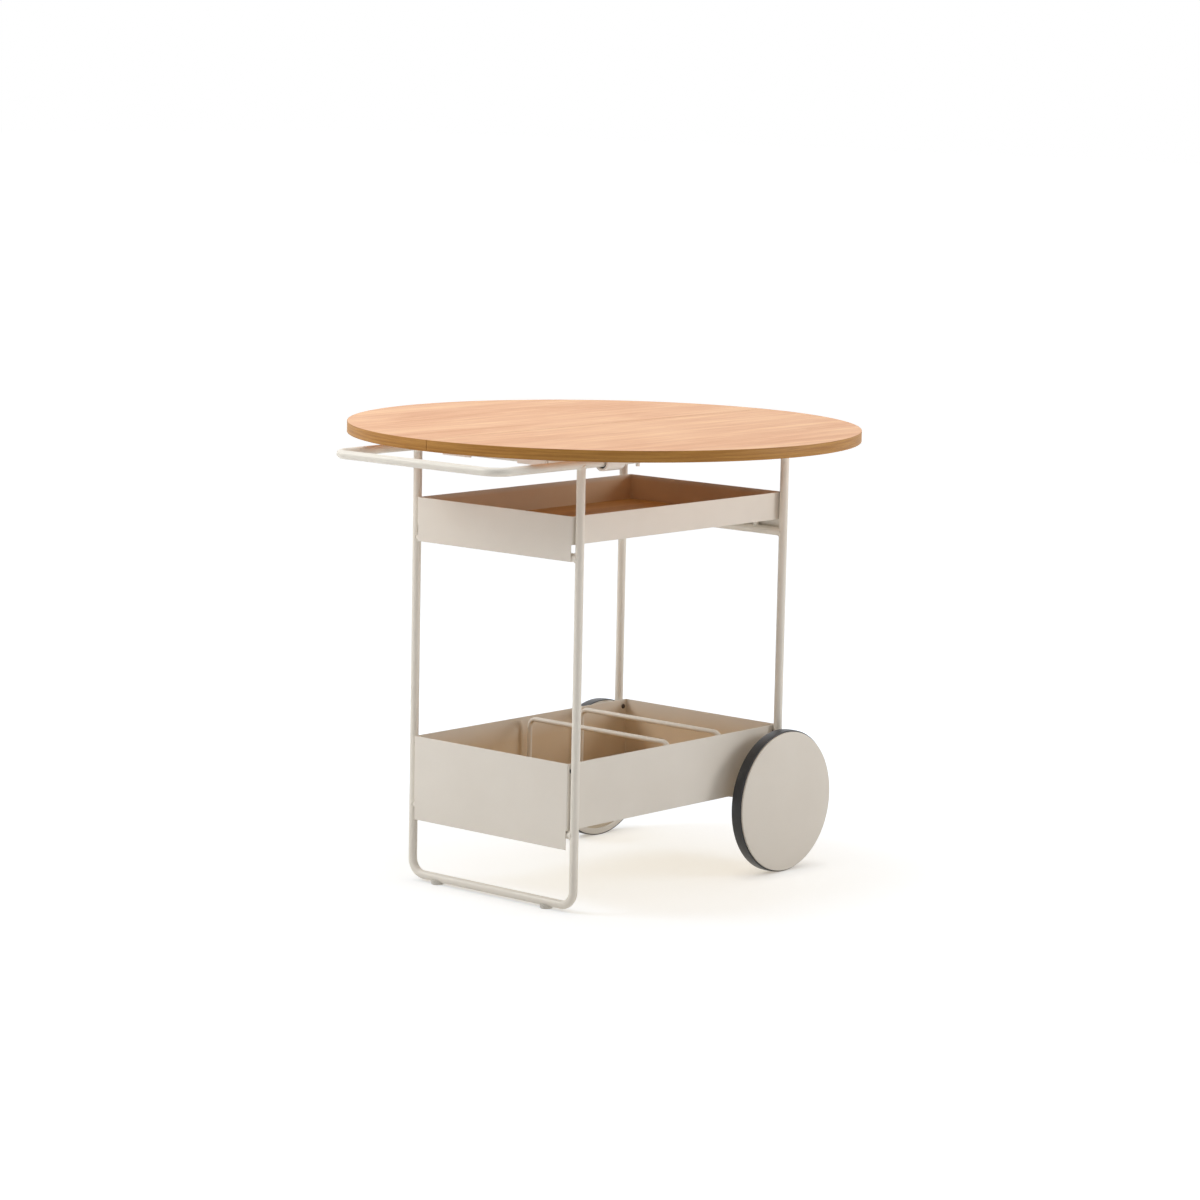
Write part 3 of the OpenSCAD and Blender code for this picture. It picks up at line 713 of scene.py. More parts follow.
@dataclass(frozen=True)
class TyreRubber(Finish):
    """Matt rubber with a moulded grain and a little dust worn into it."""

    colour: Colour
    dust: Colour
    grain_depth: float = 0.02 * MM

    def build(self) -> Material:
        """Dusts the rubber by patchy noise and grains it by bump."""
        s = Sketch(self.name)
        patch = s.spread(s.noise(s.place, 34.0, 5.0, 0.65, 0.4), (0.5, 0.78), (0.0, 0.35))
        grain = s.noise(s.place, 2400.0, 2.0, 0.6)
        s.set(Base_Color=s.blended(patch, self.colour, self.dust),
              Roughness=s.spread(grain, (0.2, 0.8), (0.3, 0.42)),
              Normal=s.bump(grain, self.grain_depth, 0.3), Sheen_Weight=0.12, Sheen_Roughness=0.45,
              Sheen_Tint=(0.75, 0.85, 1.0), Specular_IOR_Level=0.5)
        return s.material


@dataclass(frozen=True)
class Moulded(Finish):
    """Moulded plastic with a fine spark-eroded grain."""

    colour: Colour
    shade: Colour
    roughness: float = 0.4
    clear: float = 0.0
    grain_depth: float = 0.02 * MM

    def build(self) -> Material:
        """Varies the colour slowly and grains the surface by bump."""
        s = Sketch(self.name)
        cloud = s.noise(s.place, 60.0, 3.0)
        grain = s.noise(s.place, 3000.0, 2.0, 0.6)
        s.set(Base_Color=s.ramp(cloud, ((0.35, self.shade), (0.65, self.colour))),
              Roughness=s.spread(grain, (0.25, 0.75), (self.roughness - 0.06, self.roughness + 0.08)),
              Normal=s.bump(grain, self.grain_depth, 0.5), Transmission_Weight=self.clear, IOR=1.49)
        return s.material


@dataclass(frozen=True)
class TurnedSteel(Finish):
    """Bright or blackened steel with fine turning marks and a patchy coat."""

    colour: Colour
    shade: Colour
    metallic: float = 1.0
    roughness: float = 0.32
    score_depth: float = 0.01 * MM

    def build(self) -> Material:
        """Mixes two near colours in patches and scores the surface by bump."""
        s = Sketch(self.name)
        patch = s.noise(s.place, 240.0, 4.0, 0.6)
        score = s.noise(s.stretched(300.0, 300.0, 5200.0), 1.0, 2.0)
        s.set(Base_Color=s.ramp(patch, ((0.35, self.shade), (0.65, self.colour))), Metallic=self.metallic,
              Roughness=s.spread(patch, (0.3, 0.7), (self.roughness - 0.06, self.roughness + 0.1)),
              Normal=s.bump(score, self.score_depth, 0.4))
        return s.material


def linear(red: int, green: int, blue: int) -> Colour:
    """A colour given as it shows on a screen, from 0 to 255, as the linear values that a shader takes."""
    parts = np.array([red, green, blue]) / 255
    low, high = parts / 12.92, ((parts + 0.055) / 1.055) ** 2.4
    return tuple(float(v) for v in np.where(parts <= 0.04045, low, high))


FINISHES: dict[str, Finish] = {
    finish.slot: finish
    for finish in (
        PowderCoat("frame_paint", linear(245, 240, 230), linear(240, 234, 223), peel=0.008 * MM),
        TrayCoat("tray_paint", linear(241, 235, 225), linear(235, 228, 217)),
        PowderCoat("wheel_paint", linear(236, 229, 218), linear(230, 222, 210), 0.42, 0.025 * MM),
        PowderCoat("wheel_board", linear(214, 198, 174), linear(206, 189, 164), 0.55),
        OakVeneer("oak_top", linear(219, 160, 119), linear(234, 181, 141), linear(249, 206, 164)),
        OakVeneer("oak_panel", linear(178, 134, 74), linear(196, 154, 92), linear(214, 175, 112)),
        OakBand("oak_edge", linear(162, 106, 40), linear(200, 146, 70), linear(234, 181, 141)),
        TyreRubber("tyre_rubber", linear(42, 43, 46), linear(96, 96, 98)),
        Moulded("black_plastic", linear(38, 37, 37), linear(28, 27, 27)),
        # Dark steel made brown to stand in partly for the brown of the shaded tray that the bolt heads reflect: partly
        # its own colour, partly painted reflection.
        TurnedSteel("black_steel", linear(104, 90, 76), linear(84, 73, 62), 0.3, 0.45),
        Moulded("white_plastic", linear(250, 244, 236), linear(246, 239, 230), 0.3),
        Moulded("glide_plastic", linear(232, 230, 224), linear(224, 221, 214), 0.3, 0.45),
        TurnedSteel("zinc_steel", linear(196, 194, 188), linear(176, 174, 168)),
    )
}


# Pieces


@dataclass(frozen=True)
class Wall:
    """Thickness given to an open sheet, and the radius that eases its edges."""

    thickness: float
    ease: float
    sharp: float = 50.0

    def add_to(self, piece: Object) -> None:
        """Adds the modifiers that thicken the sheet inwards and ease its edges."""
        solid = piece.modifiers.new("sheet", "SOLIDIFY")
        solid.thickness = self.thickness
        solid.offset = -1.0
        solid.use_even_offset = True
        bevel = piece.modifiers.new("eased_edges", "BEVEL")
        bevel.width = self.ease
        bevel.segments = 2
        bevel.limit_method = "ANGLE"
        bevel.angle_limit = math.radians(self.sharp)
        bevel.harden_normals = True


def make_piece(name: str, surface: Surface, body: str, slot: str, replaced: Iterable[str] = (),
               wall: Wall | None = None, sharp: float = 35.0) -> Object:
    """Puts a surface into a mesh object at the origin, dresses it and lets it ride on a body.

    Args:
        name: The piece's name.
        surface: Its points and faces, in place.
        body: The body that it rides on.
        slot: The material slot whose finish it gets.
        replaced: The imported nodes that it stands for.
        wall: For an open sheet, the thickness that it is given.
        sharp: Faces that meet at more than this angle, in degrees, keep a sharp edge.

    Returns:
        The finished object.
    """
    mesh = bpy.data.meshes.new(name)
    faces = [face for block in surface.faces for face in block.tolist()]
    mesh.from_pydata(surface.points.tolist(), [], faces)
    if surface.uv is not None:
        corners = np.empty(len(mesh.loops), np.int32)
        mesh.loops.foreach_get("vertex_index", corners)
        layer = mesh.uv_layers.new(name="grain")
        layer.data.foreach_set("uv", surface.uv[corners].astype(np.float32).ravel())
    shell = bmesh.new()
    shell.from_mesh(mesh)
    bmesh.ops.remove_doubles(shell, verts=shell.verts, dist=DOUBLED)
    if wall is None:
        bmesh.ops.recalc_face_normals(shell, faces=shell.faces)
    shell.to_mesh(mesh)
    shell.free()
    mesh.polygons.foreach_set("use_smooth", np.ones(len(mesh.polygons), bool))
    mesh.set_sharp_from_angle(angle=math.radians(sharp))
    mesh.materials.append(FINISHES[slot].material())
    piece = bpy.data.objects.new(name, mesh)
    bpy.context.scene.collection.objects.link(piece)
    if wall is not None:
        wall.add_to(piece)
    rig.ride(piece, body)
    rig.slot(piece, slot)
    if replaced:
        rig.replaces(piece, *replaced)
    log.info("%s: %d faces, %s, on %s", name, len(mesh.polygons), slot, body)
    return piece


def middle_of(node: str) -> np.ndarray:
    """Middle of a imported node's box."""
    low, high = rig.box(node)
    return (np.array(low) + np.array(high)) / 2


@dataclass(frozen=True)
class Layout:
    """Places that several sub-assemblies share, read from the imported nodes."""

    tube_r: float
    front_x: float
    rear_x: float
    side_y: float
    rail_z: float
    foot_z: float
    handle_x: float
    rear_foot_z: float
    top_under_z: float

    @classmethod
    def from_frame(cls) -> "Layout":
        """Reads the places from the boxes of the frame's tubes and a leaf's board."""
        legs_low, legs_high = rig.box("front_legs")
        low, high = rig.box("handle_frame")
        tube_r = (legs_high.x - legs_low.x) / 2
        return cls(tube_r=tube_r, front_x=legs_low.x + tube_r, rear_x=high.x - tube_r, side_y=high.y - tube_r,
                   rail_z=high.z - tube_r, foot_z=legs_low.z + tube_r, handle_x=low.x + tube_r,
                   rear_foot_z=low.z, top_under_z=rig.box("near_leaf_board")[0].z)


# Heads of screws and bolts


@dataclass(frozen=True)
class PanHead:
    """Domed screw head with a cross recess, standing on z = 0."""

    radius: float
    height: float
    arm_width: float = 1.0 * MM
    arm_reach: float = 0.6
    depth: float = 0.55

    def surface(self, sides: int = 48, rings: int = 14) -> Surface:
        """The head: z = h (1 - 0.55 (r/R)^4) less the recess, whose floor rises towards the arms' ends.

        Args:
            sides: Number of angles.
            rings: Number of rings on the dome.

        Returns:
            The closed surface.
        """
        share = np.outer(np.linspace(0, 1, rings), np.ones(sides))
        angle = np.arange(sides) * TURN / sides
        radius = self.radius * share
        x, y = np.abs(radius * np.cos(angle)), np.abs(radius * np.sin(angle))
        across, reach = np.minimum(x, y), np.maximum(x, y)
        inside = np.clip((self.arm_width / 2 - across) / (0.25 * MM) + 0.5, 0, 1)
        fall = np.clip((self.arm_reach * self.radius - reach) / (0.35 * self.radius), 0, 1)
        height = self.height * (1 - 0.55 * share ** 4) - self.depth * self.height * inside * fall
        rim = np.full((1, sides), self.radius)
        flat = np.zeros((1, sides))
        return polar(np.concatenate([radius, rim, flat]), np.concatenate([height, flat, flat]))


@dataclass(frozen=True)
class ButtonHead:
    """Low domed bolt head with a six-sided socket, standing on z = 0."""

    radius: float
    height: float
    socket: float = 0.5

    def surface(self, sides: int = 48) -> Surface:
        """The head: a quarter ellipse from the rim up to the socket, whose wall is the hexagon a / cos(t).

        Args:
            sides: Number of angles, a multiple of six.

        Returns:
            The closed surface.
        """
        angle = np.arange(sides) * TURN / sides
        flats = self.socket * self.radius / 2 * math.sqrt(3)
        hexagon = flats / np.cos((angle + TURN / 12) % (TURN / 6) - TURN / 12)
        dome = np.linspace(0, 1, 7)[:, None]
        radius = self.radius + (hexagon * 1.08 - self.radius) * dome
        height = self.height * np.sqrt(1 - (1 - dome) ** 2) * np.ones(sides)
        floor = np.full((1, sides), self.height * 0.25)
        zero = np.zeros((1, sides))
        lip = hexagon[None]
        return polar(np.concatenate([zero, radius, lip, lip * 0.96, zero]),
                     np.concatenate([zero, height, height[-1:] - 0.1 * MM, floor, floor * 0.8]))


# Sub-assemblies


@dataclass(frozen=True)
class TubeFrame:
    """The bent and welded tubes, with their welds, plugs, pegs, spacers and glides."""

    at: Layout
    handle_bend: float = 28 * MM
    rear_bend: float = 28 * MM
    foot_bend: float = 25 * MM
    spacer_r: float = 4.5 * MM
    sides: int = 40
    bead_r: float = 1.5 * MM
    bead_pitch: float = 1.7 * MM
    bead_soft: float = 0.28
    bead_swell: float = 0.07
    cap_t: float = 2 * MM
    cap_round: float = 1.2 * MM
    cap_facet: float = 0.35 * MM
    peg_ease: float = 0.8 * MM
    spacer_ease: float = 0.1 * MM
    glide_ease: float = 1.0 * MM

    def build(self) -> None:
        """Builds the tubes and what is fixed to them."""
        self.build_bent_tubes()
        self.build_crossbars()
        self.build_welds()
        self.build_small_parts()

    def build_bent_tubes(self) -> None:
        """Sweeps the handle frame and the front legs along their bent centre lines."""
        a = self.at
        y, z = a.side_y, a.rail_z
        handle = bent_path([(a.rear_x, -y, a.rear_foot_z), (a.rear_x, -y, z), (a.handle_x, -y, z),
                            (a.handle_x, y, z), (a.rear_x, y, z), (a.rear_x, y, a.rear_foot_z)],
                           [self.rear_bend, self.handle_bend, self.handle_bend, self.rear_bend])
        legs = bent_path([(a.front_x, -y, z - a.tube_r / 2), (a.front_x, -y, a.foot_z),
                          (a.front_x, y, a.foot_z), (a.front_x, y, z - a.tube_r / 2)],
                         [self.foot_bend, self.foot_bend])
        for name, node, line in (("handle_frame_tube", "handle_frame", handle),
                                 ("front_leg_tube", "front_legs", legs)):
            make_piece(name, swept(line, a.tube_r, self.sides), "root", "frame_paint", [node])

    def build_crossbars(self) -> None:
        """Sweeps the six crossbars from side to side, with their ends inside the tubes that they meet."""
        for name, (x, z) in self.crossbars().items():
            reach = self.at.side_y
            bar = swept(np.array([[x, -reach, z], [x, 0.0, z], [x, reach, z]]), self.at.tube_r, self.sides)
            make_piece(f"{name}_tube", bar, "root", "frame_paint", [name])

    def crossbars(self) -> dict[str, tuple[float, float]]:
        """Place along the cart and height of each crossbar, by the name of its node."""
        names = [f"{end}_{level}_crossbar" for level in ("top", "upper", "lower") for end in ("front", "rear")]
        return {name: (middle_of(name)[0], middle_of(name)[2]) for name in names}

    def build_welds(self) -> None:
        """Lays a bead round each end of every crossbar and round the tops of the front legs."""
        a = self.at
        up, across, along = np.eye(3)[2], np.eye(3)[1], np.eye(3)[0]
        beads = []
        for side in Side:
            for name, (x, z) in self.crossbars().items():
                host = along if name == "rear_top_crossbar" else up
                beads.append(self.bead(np.array([x, side.value * a.side_y, z]), side.value * across, host))
            beads.append(self.bead(np.array([a.front_x, side.value * a.side_y, a.rail_z]), up, along))
        make_piece("weld_beads", joined(beads), "root", "frame_paint")

    def bead(self, centre: np.ndarray, ending: np.ndarray, host: np.ndarray, steps: int = 96) -> Surface:
        """Weld bead on the line where one tube ends on another of the same size.

        The line is centre + R (cos a h + sin a t) - R sqrt(cos^2 a + s^2) e, where e points along the
        ending tube, h along the host and t is square to both. The bead's radius ripples along it.

        Args:
            centre: Where the two centre lines meet.
            ending: Direction in which the ending tube runs into the host.
            host: Direction of the host tube.
            steps: Points along the line.

        Returns:
            The bead's surface.
        """
        square = np.cross(ending, host)
        radius = self.at.tube_r
        angle = np.arange(steps) * TURN / steps
        round_it = np.cos(angle)[:, None] * host + np.sin(angle)[:, None] * square
        back = np.sqrt(np.cos(angle) ** 2 + self.bead_soft ** 2)[:, None] * ending
        line = centre + radius * (round_it - back)
        ripple = 1 + self.bead_swell * np.sin(TURN * radius / self.bead_pitch * angle.round(6))
        return swept(line, self.bead_r * ripple, 12, round_it)

    def build_small_parts(self) -> None:
        """Turns the leg caps, pegs, spacers and glides."""
        a = self.at
        r, t, edge, facet = a.tube_r, self.cap_t, self.cap_round, self.cap_facet
        cap = lathe(np.array([[0, -t], [r - edge, -t], [r - facet, facet - t], [r, edge - t], [r, 0], [0, 0]]),
                    self.sides)
        caps = [cap.moved(a.rear_x, s.value * a.side_y, a.rear_foot_z) for s in Side]
        make_piece("rear_leg_caps", joined(caps), "root", "white_plastic", ["rear_leg_plugs"])

        low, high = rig.box("stop_pegs")
        radius = (high.x - low.x) / 2
        peg = self.pin(radius, a.rail_z - a.tube_r / 2 - low.z, self.peg_ease)
        pegs = [peg.moved(low.x + radius, s.value * a.side_y, low.z) for s in Side]
        make_piece("rail_pegs", joined(pegs), "root", "white_plastic", ["stop_pegs"])

        low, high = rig.box("upper_tray_spacers")
        radius = self.spacer_r
        spacer = self.pin(radius, high.z - low.z, self.spacer_ease)
        spots = [(x, s.value * (high.y - radius)) for x in (low.x + radius, high.x - radius) for s in Side]
        make_piece("tray_spacer_pins", joined(spacer.moved(x, y, low.z) for x, y in spots), "root",
                   "frame_paint", ["upper_tray_spacers"])

        low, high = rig.box("glides")
        radius = (high.x - low.x) / 2
        glide = self.pin(radius, high.z - low.z, self.glide_ease)
        glides = [glide.moved(a.front_x, s.value * (high.y - radius), 0.0) for s in Side]
        make_piece("foot_glides", joined(glides), "root", "glide_plastic", ["glides"])

    def pin(self, radius: float, height: float, ease: float) -> Surface:
        """Solid pin standing on z = 0, with both rims eased by quarter arcs."""
        foot = arc((radius - ease, ease), ease, -90, 0)
        head = arc((radius - ease, height - ease), ease, 0, 90)
        return lathe(np.concatenate([[[0, 0]], foot, head, [[0, height]]]), self.sides)


@dataclass(frozen=True)
class SheetTray:
    """A folded sheet tray: walls and hanging end panels from one sheet, and a floor with a folded edge."""

    node: str
    floor_z: float
    sheet: float = 1.5 * MM
    corner: float = 2.5 * MM
    fold: float = 2.0 * MM
    ease: float = 0.4 * MM
    sunk: float = 0.3 * MM

    def build(self) -> None:
        """Builds the walls and the floor."""
        low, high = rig.box(self.node)
        half_x, half_y = (high.x - low.x) / 2, (high.y - low.y) / 2
        mid_x = (high.x + low.x) / 2
        outline = round_rect((-half_x, half_x), (-half_y, half_y), self.corner, 5)
        walls = self.walls(outline, half_x, [low.z, self.floor_z, high.z]).moved(x=mid_x)
        make_piece(f"{self.node}_walls", walls, "root", "tray_paint", [self.node], Wall(self.sheet, self.ease),
                   50)
        floor = self.floor(half_x - self.sheet, half_y - self.sheet).moved(x=mid_x)
        make_piece(f"{self.node}_floor", floor, "root", "tray_paint", sharp=50)

    @staticmethod
    def walls(outline: np.ndarray, half_x: float, heights: list[float]) -> Surface:
        """Open sheet along the outline, one row of faces above the floor and one below it at the two ends.

        Args:
            outline: The tray's outline seen from above.
            half_x: Half the tray's length, where the end panels lie.
            heights: Lower edge of the end panels, height of the floor and height of the rim.

        Returns:
            The sheet, with its faces outwards.
        """
        count = len(outline)
        points = np.concatenate([np.column_stack([outline, np.full(count, z)]) for z in heights])
        quads = grid_quads(len(heights), count, False, True)
        at_end = np.isclose(np.abs(outline[:, 0]), half_x, rtol=0, atol=DOUBLED)
        panel = at_end & np.roll(at_end, -1)
        keep = np.concatenate([panel, np.ones(count, bool)])
        return without_loose(Surface(points, [quads[keep]]))

    def floor(self, half_x: float, half_y: float) -> Surface:
        """Floor plate whose upper face runs up the walls in a quarter arc of the fold's radius.

        Args:
            half_x: Half the length between the walls.
            half_y: Half the width between the walls.

        Returns:
            The plate, its edges sunk a little into the walls.
        """
        outline = np.array([[half_x, -half_y], [half_x, half_y], [-half_x, half_y], [-half_x, -half_y]])
        top, sunk = self.floor_z + self.sheet, self.sunk
        cove = arc((self.fold, top + self.fold), self.fold, 180, 270, 5)
        levels = [(0.0, self.floor_z), (-sunk, self.floor_z + sunk), (-sunk, top + self.fold)]
        return stacked(outline, levels + [(float(d), float(z)) for d, z in cove])


@dataclass(frozen=True)
class BottleDivider:
    """A bent rod that stands across the lower tray."""

    node: str
    bend: float = 13 * MM
    sides: int = 32

    def build(self) -> None:
        """Sweeps the rod up, across and down."""
        low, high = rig.box(self.node)
        radius = (high.x - low.x) / 2
        x, y, top = low.x + radius, high.y - radius, high.z - radius
        path = bent_path([(x, -y, low.z), (x, -y, top), (x, y, top), (x, y, low.z)], [self.bend, self.bend])
        make_piece(f"{self.node}_rod", swept(path, radius, self.sides), "root", "frame_paint", [self.node])


@dataclass(frozen=True)
class TrayFixings:
    """The lower tray's socket bolts with their black washers."""

    at: Layout
    sheet: float = 1.5 * MM
    head_height: float = 2.5 * MM
    washer_bore: float = 2.6 * MM
    washer_ease: float = 0.3 * MM
    washer_reach: float = 0.6

    def build(self) -> None:
        """Builds the heads inside the tray and the washers, whose outer ends are sunk in the legs."""
        low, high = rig.box("lower_tray_bolts")
        tray_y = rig.box("lower_tray")[1].y
        radius = (high.z - low.z) / 2
        head = ButtonHead(radius, self.head_height).surface()
        heads, washers = [], []
        thick = self.at.side_y - tray_y - self.at.tube_r * self.washer_reach
        low_ring, high_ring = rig.box("lower_tray_washers")
        outer = (high_ring.z - low_ring.z) / 2
        ring = lathe(round_rect((self.washer_bore, outer), (0, thick), self.washer_ease, 3), 40, True)
        for x in (self.at.front_x, self.at.rear_x):
            for side in Side:
                inwards = Turned.AGAINST_Y if side is Side.FAR else Turned.ALONG_Y
                outwards = Turned.ALONG_Y if side is Side.FAR else Turned.AGAINST_Y
                spot_y, spot_z = side.value * tray_y, (low.z + high.z) / 2
                heads.append(head.turned(inwards).moved(x, spot_y - side.value * self.sheet, spot_z))
                washers.append(ring.turned(outwards).moved(x, spot_y, spot_z))
        make_piece("tray_bolt_heads", joined(heads), "root", "black_steel", ["lower_tray_bolts"])
        make_piece("tray_leg_washers", joined(washers), "root", "black_plastic", ["lower_tray_washers"])


@dataclass(frozen=True)
class Leaf:
    """One half-round leaf: its edge band, and the sleeves, clips and screws under it."""

    side: Side
    at: Layout
    band_ease: float = 0.6 * MM
    seam_ease: float = 0.15 * MM
    half_seam: float = 0.5 * MM
    band: float = 1.2 * MM
    sleeve_length: float = 42 * MM
    sleeve_wall: float = 4 * MM
    web: float = 11 * MM
    web_sunk: float = 1 * MM
    web_round: float = 1.5 * MM
    plate: float = 2 * MM
    plate_round: float = 5 * MM
    plate_ease: float = 0.5 * MM
    barrel_ease: float = 1.0 * MM
    web_ease: float = 0.1 * MM
    screw: PanHead = PanHead(3.8 * MM, 2.4 * MM)
    screw_edge: float = 3 * MM
    clip_slot: float = 7.3 * MM
    clip_half: float = 11 * MM
    clip_ease: float = 0.5 * MM

    @property
    def body(self) -> str:
        """The body that the leaf's pieces ride on."""
        return f"{self.side.word}_leaf"

    def build(self) -> None:
        """Builds the leaf's pieces."""
        self.build_band()
        self.build_sleeves()
        self.build_clips()

    def node(self, part: str) -> str:
        """Full name of one of the leaf's nodes."""
        return f"{self.body}_{part}"

    def build_band(self) -> None:
        """Carries the band's section round the half circle and back along the seam, with its length as U."""
        low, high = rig.box(self.node("edge_band"))
        radius, mid_x = (high.x - low.x) / 2, (high.x + low.x) / 2
        start = math.degrees(math.asin(self.half_seam / radius))
        curve = arc((0, 0), radius, start, 180 - start, 150)
        ends = [curve[-1], curve[0]]
        straight = ends[0] + (ends[1] - ends[0]) * np.linspace(0, 1, 25)[1:, None]
        outer, tall = np.concatenate([curve, straight[:-1]]), high.z - low.z
        inner = drawn_in(outer, self.band)
        ease = np.where(np.arange(len(outer)) < len(curve), self.band_ease, self.seam_ease)
        bend = np.linspace(0, math.pi / 2, 4)
        sideways, upwards = np.outer(1 - np.sin(bend), ease), np.outer(1 - np.cos(bend), ease)
        whole = np.full((1, len(outer)), self.band)
        insets = np.concatenate([whole, sideways, sideways[::-1], whole])
        rises = np.concatenate([0 * whole, upwards, tall - upwards[::-1], 0 * whole + tall])
        share = (insets / self.band)[:, :, None]
        flat = outer[None] + (inner - outer)[None] * share
        flat = np.concatenate([flat, flat[:, :1]], axis=1)
        rises = np.concatenate([rises, rises[:, :1]], axis=1)
        heights = rises[:, :, None] + low.z
        step = np.linalg.norm(np.diff(np.concatenate([outer, outer[:1]]), axis=0), axis=1)
        run = np.concatenate([[0.0], np.cumsum(step)])
        profile = np.concatenate([[0.0], np.cumsum(np.hypot(np.diff(insets[:, 0]), np.diff(rises[:, 0])))])
        uv = np.stack(np.broadcast_arrays(run[None], profile[:, None]), axis=-1)
        points = np.concatenate([flat, heights], axis=-1).reshape(-1, 3)
        points = points * [1, self.side.value, 1] + [mid_x, 0, 0]
        quads = grid_quads(flat.shape[0], flat.shape[1], True, False)
        surface = Surface(points, [quads], uv.reshape(-1, 2))
        make_piece(self.node("band"), surface, self.body, "oak_edge", [self.node("edge_band")])

    def build_sleeves(self) -> None:
        """Builds each sleeve from a turned barrel, a web and a plate, and its screws' heads below the plate."""
        low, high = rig.box(self.node("sleeves"))
        length = self.sleeve_length
        y, z = self.side.value * self.at.side_y, self.at.rail_z
        plate_z = high.z - self.plate
        radius = z - low.z
        along, half_w = (-length / 2, length / 2), (high.y - low.y) / 2
        section = round_rect((radius - self.sleeve_wall, radius), along, self.barrel_ease)
        barrel = lathe(section, 64, True).turned(Turned.ALONG_X)
        web = eased_plate(round_rect(along, (-self.web / 2, self.web / 2), self.web_round),
                          radius - self.sleeve_wall + self.web_sunk, plate_z - z, self.web_ease)
        plate = eased_plate(round_rect(along, (-half_w, half_w), self.plate_round, 6),
                            plate_z - z, high.z - z, self.plate_ease)
        shell = joined([barrel, web, plate])
        spots = [low.x + length / 2, high.x - length / 2]
        make_piece(self.node("sleeve_mounts"), joined(shell.moved(x, y, z) for x in spots), self.body,
                   "white_plastic", [self.node("sleeves")])

        head = self.screw.surface().turned(Turned.DOWN)
        low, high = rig.box(self.node("sleeve_screws"))
        mid_y = (low.y + high.y) / 2
        out_y = (high.y - low.y) / 2 - self.screw.radius
        out_x = length / 2 - self.screw.radius - self.screw_edge
        heads = [head.moved(x + dx, mid_y + dy, plate_z) for x in spots for dx in (-out_x, out_x)
                 for dy in (-out_y, out_y)]
        make_piece(self.node("sleeve_screw_heads"), joined(heads), self.body, "zinc_steel",
                   [self.node("sleeve_screws")])

    def build_clips(self) -> None:
        """Extrudes the clips' arch across the cart, over both top crossbars."""
        low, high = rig.box(self.node("clips"))
        half_w, slot = self.clip_half, self.clip_slot
        lift, depth = high.z - self.at.rail_z, self.at.rail_z - low.z
        arch = arc((0, 0), slot, 0, 180, 24)
        outline = np.concatenate([[[half_w, -depth], [half_w, lift], [-half_w, lift], [-half_w, -depth]],
                                  [[-slot, -depth]], arch[::-1], [[slot, -depth]]])
        block = eased_plate(outline, low.y, high.y, self.clip_ease)
        # The outline's Y becomes Z, and the extrusion runs towards -Y before it is shifted back.
        block = Surface(block.points * [1, 1, -1], block.faces).turned(Turned.ALONG_Y)
        block = Surface(block.points * [1, -1, -1], block.faces)
        clips = [block.moved(x, 0.0, self.at.rail_z) for x in (low.x + half_w, high.x - half_w)]
        make_piece(self.node("bar_clips"), joined(clips), self.body, "white_plastic", [self.node("clips")])


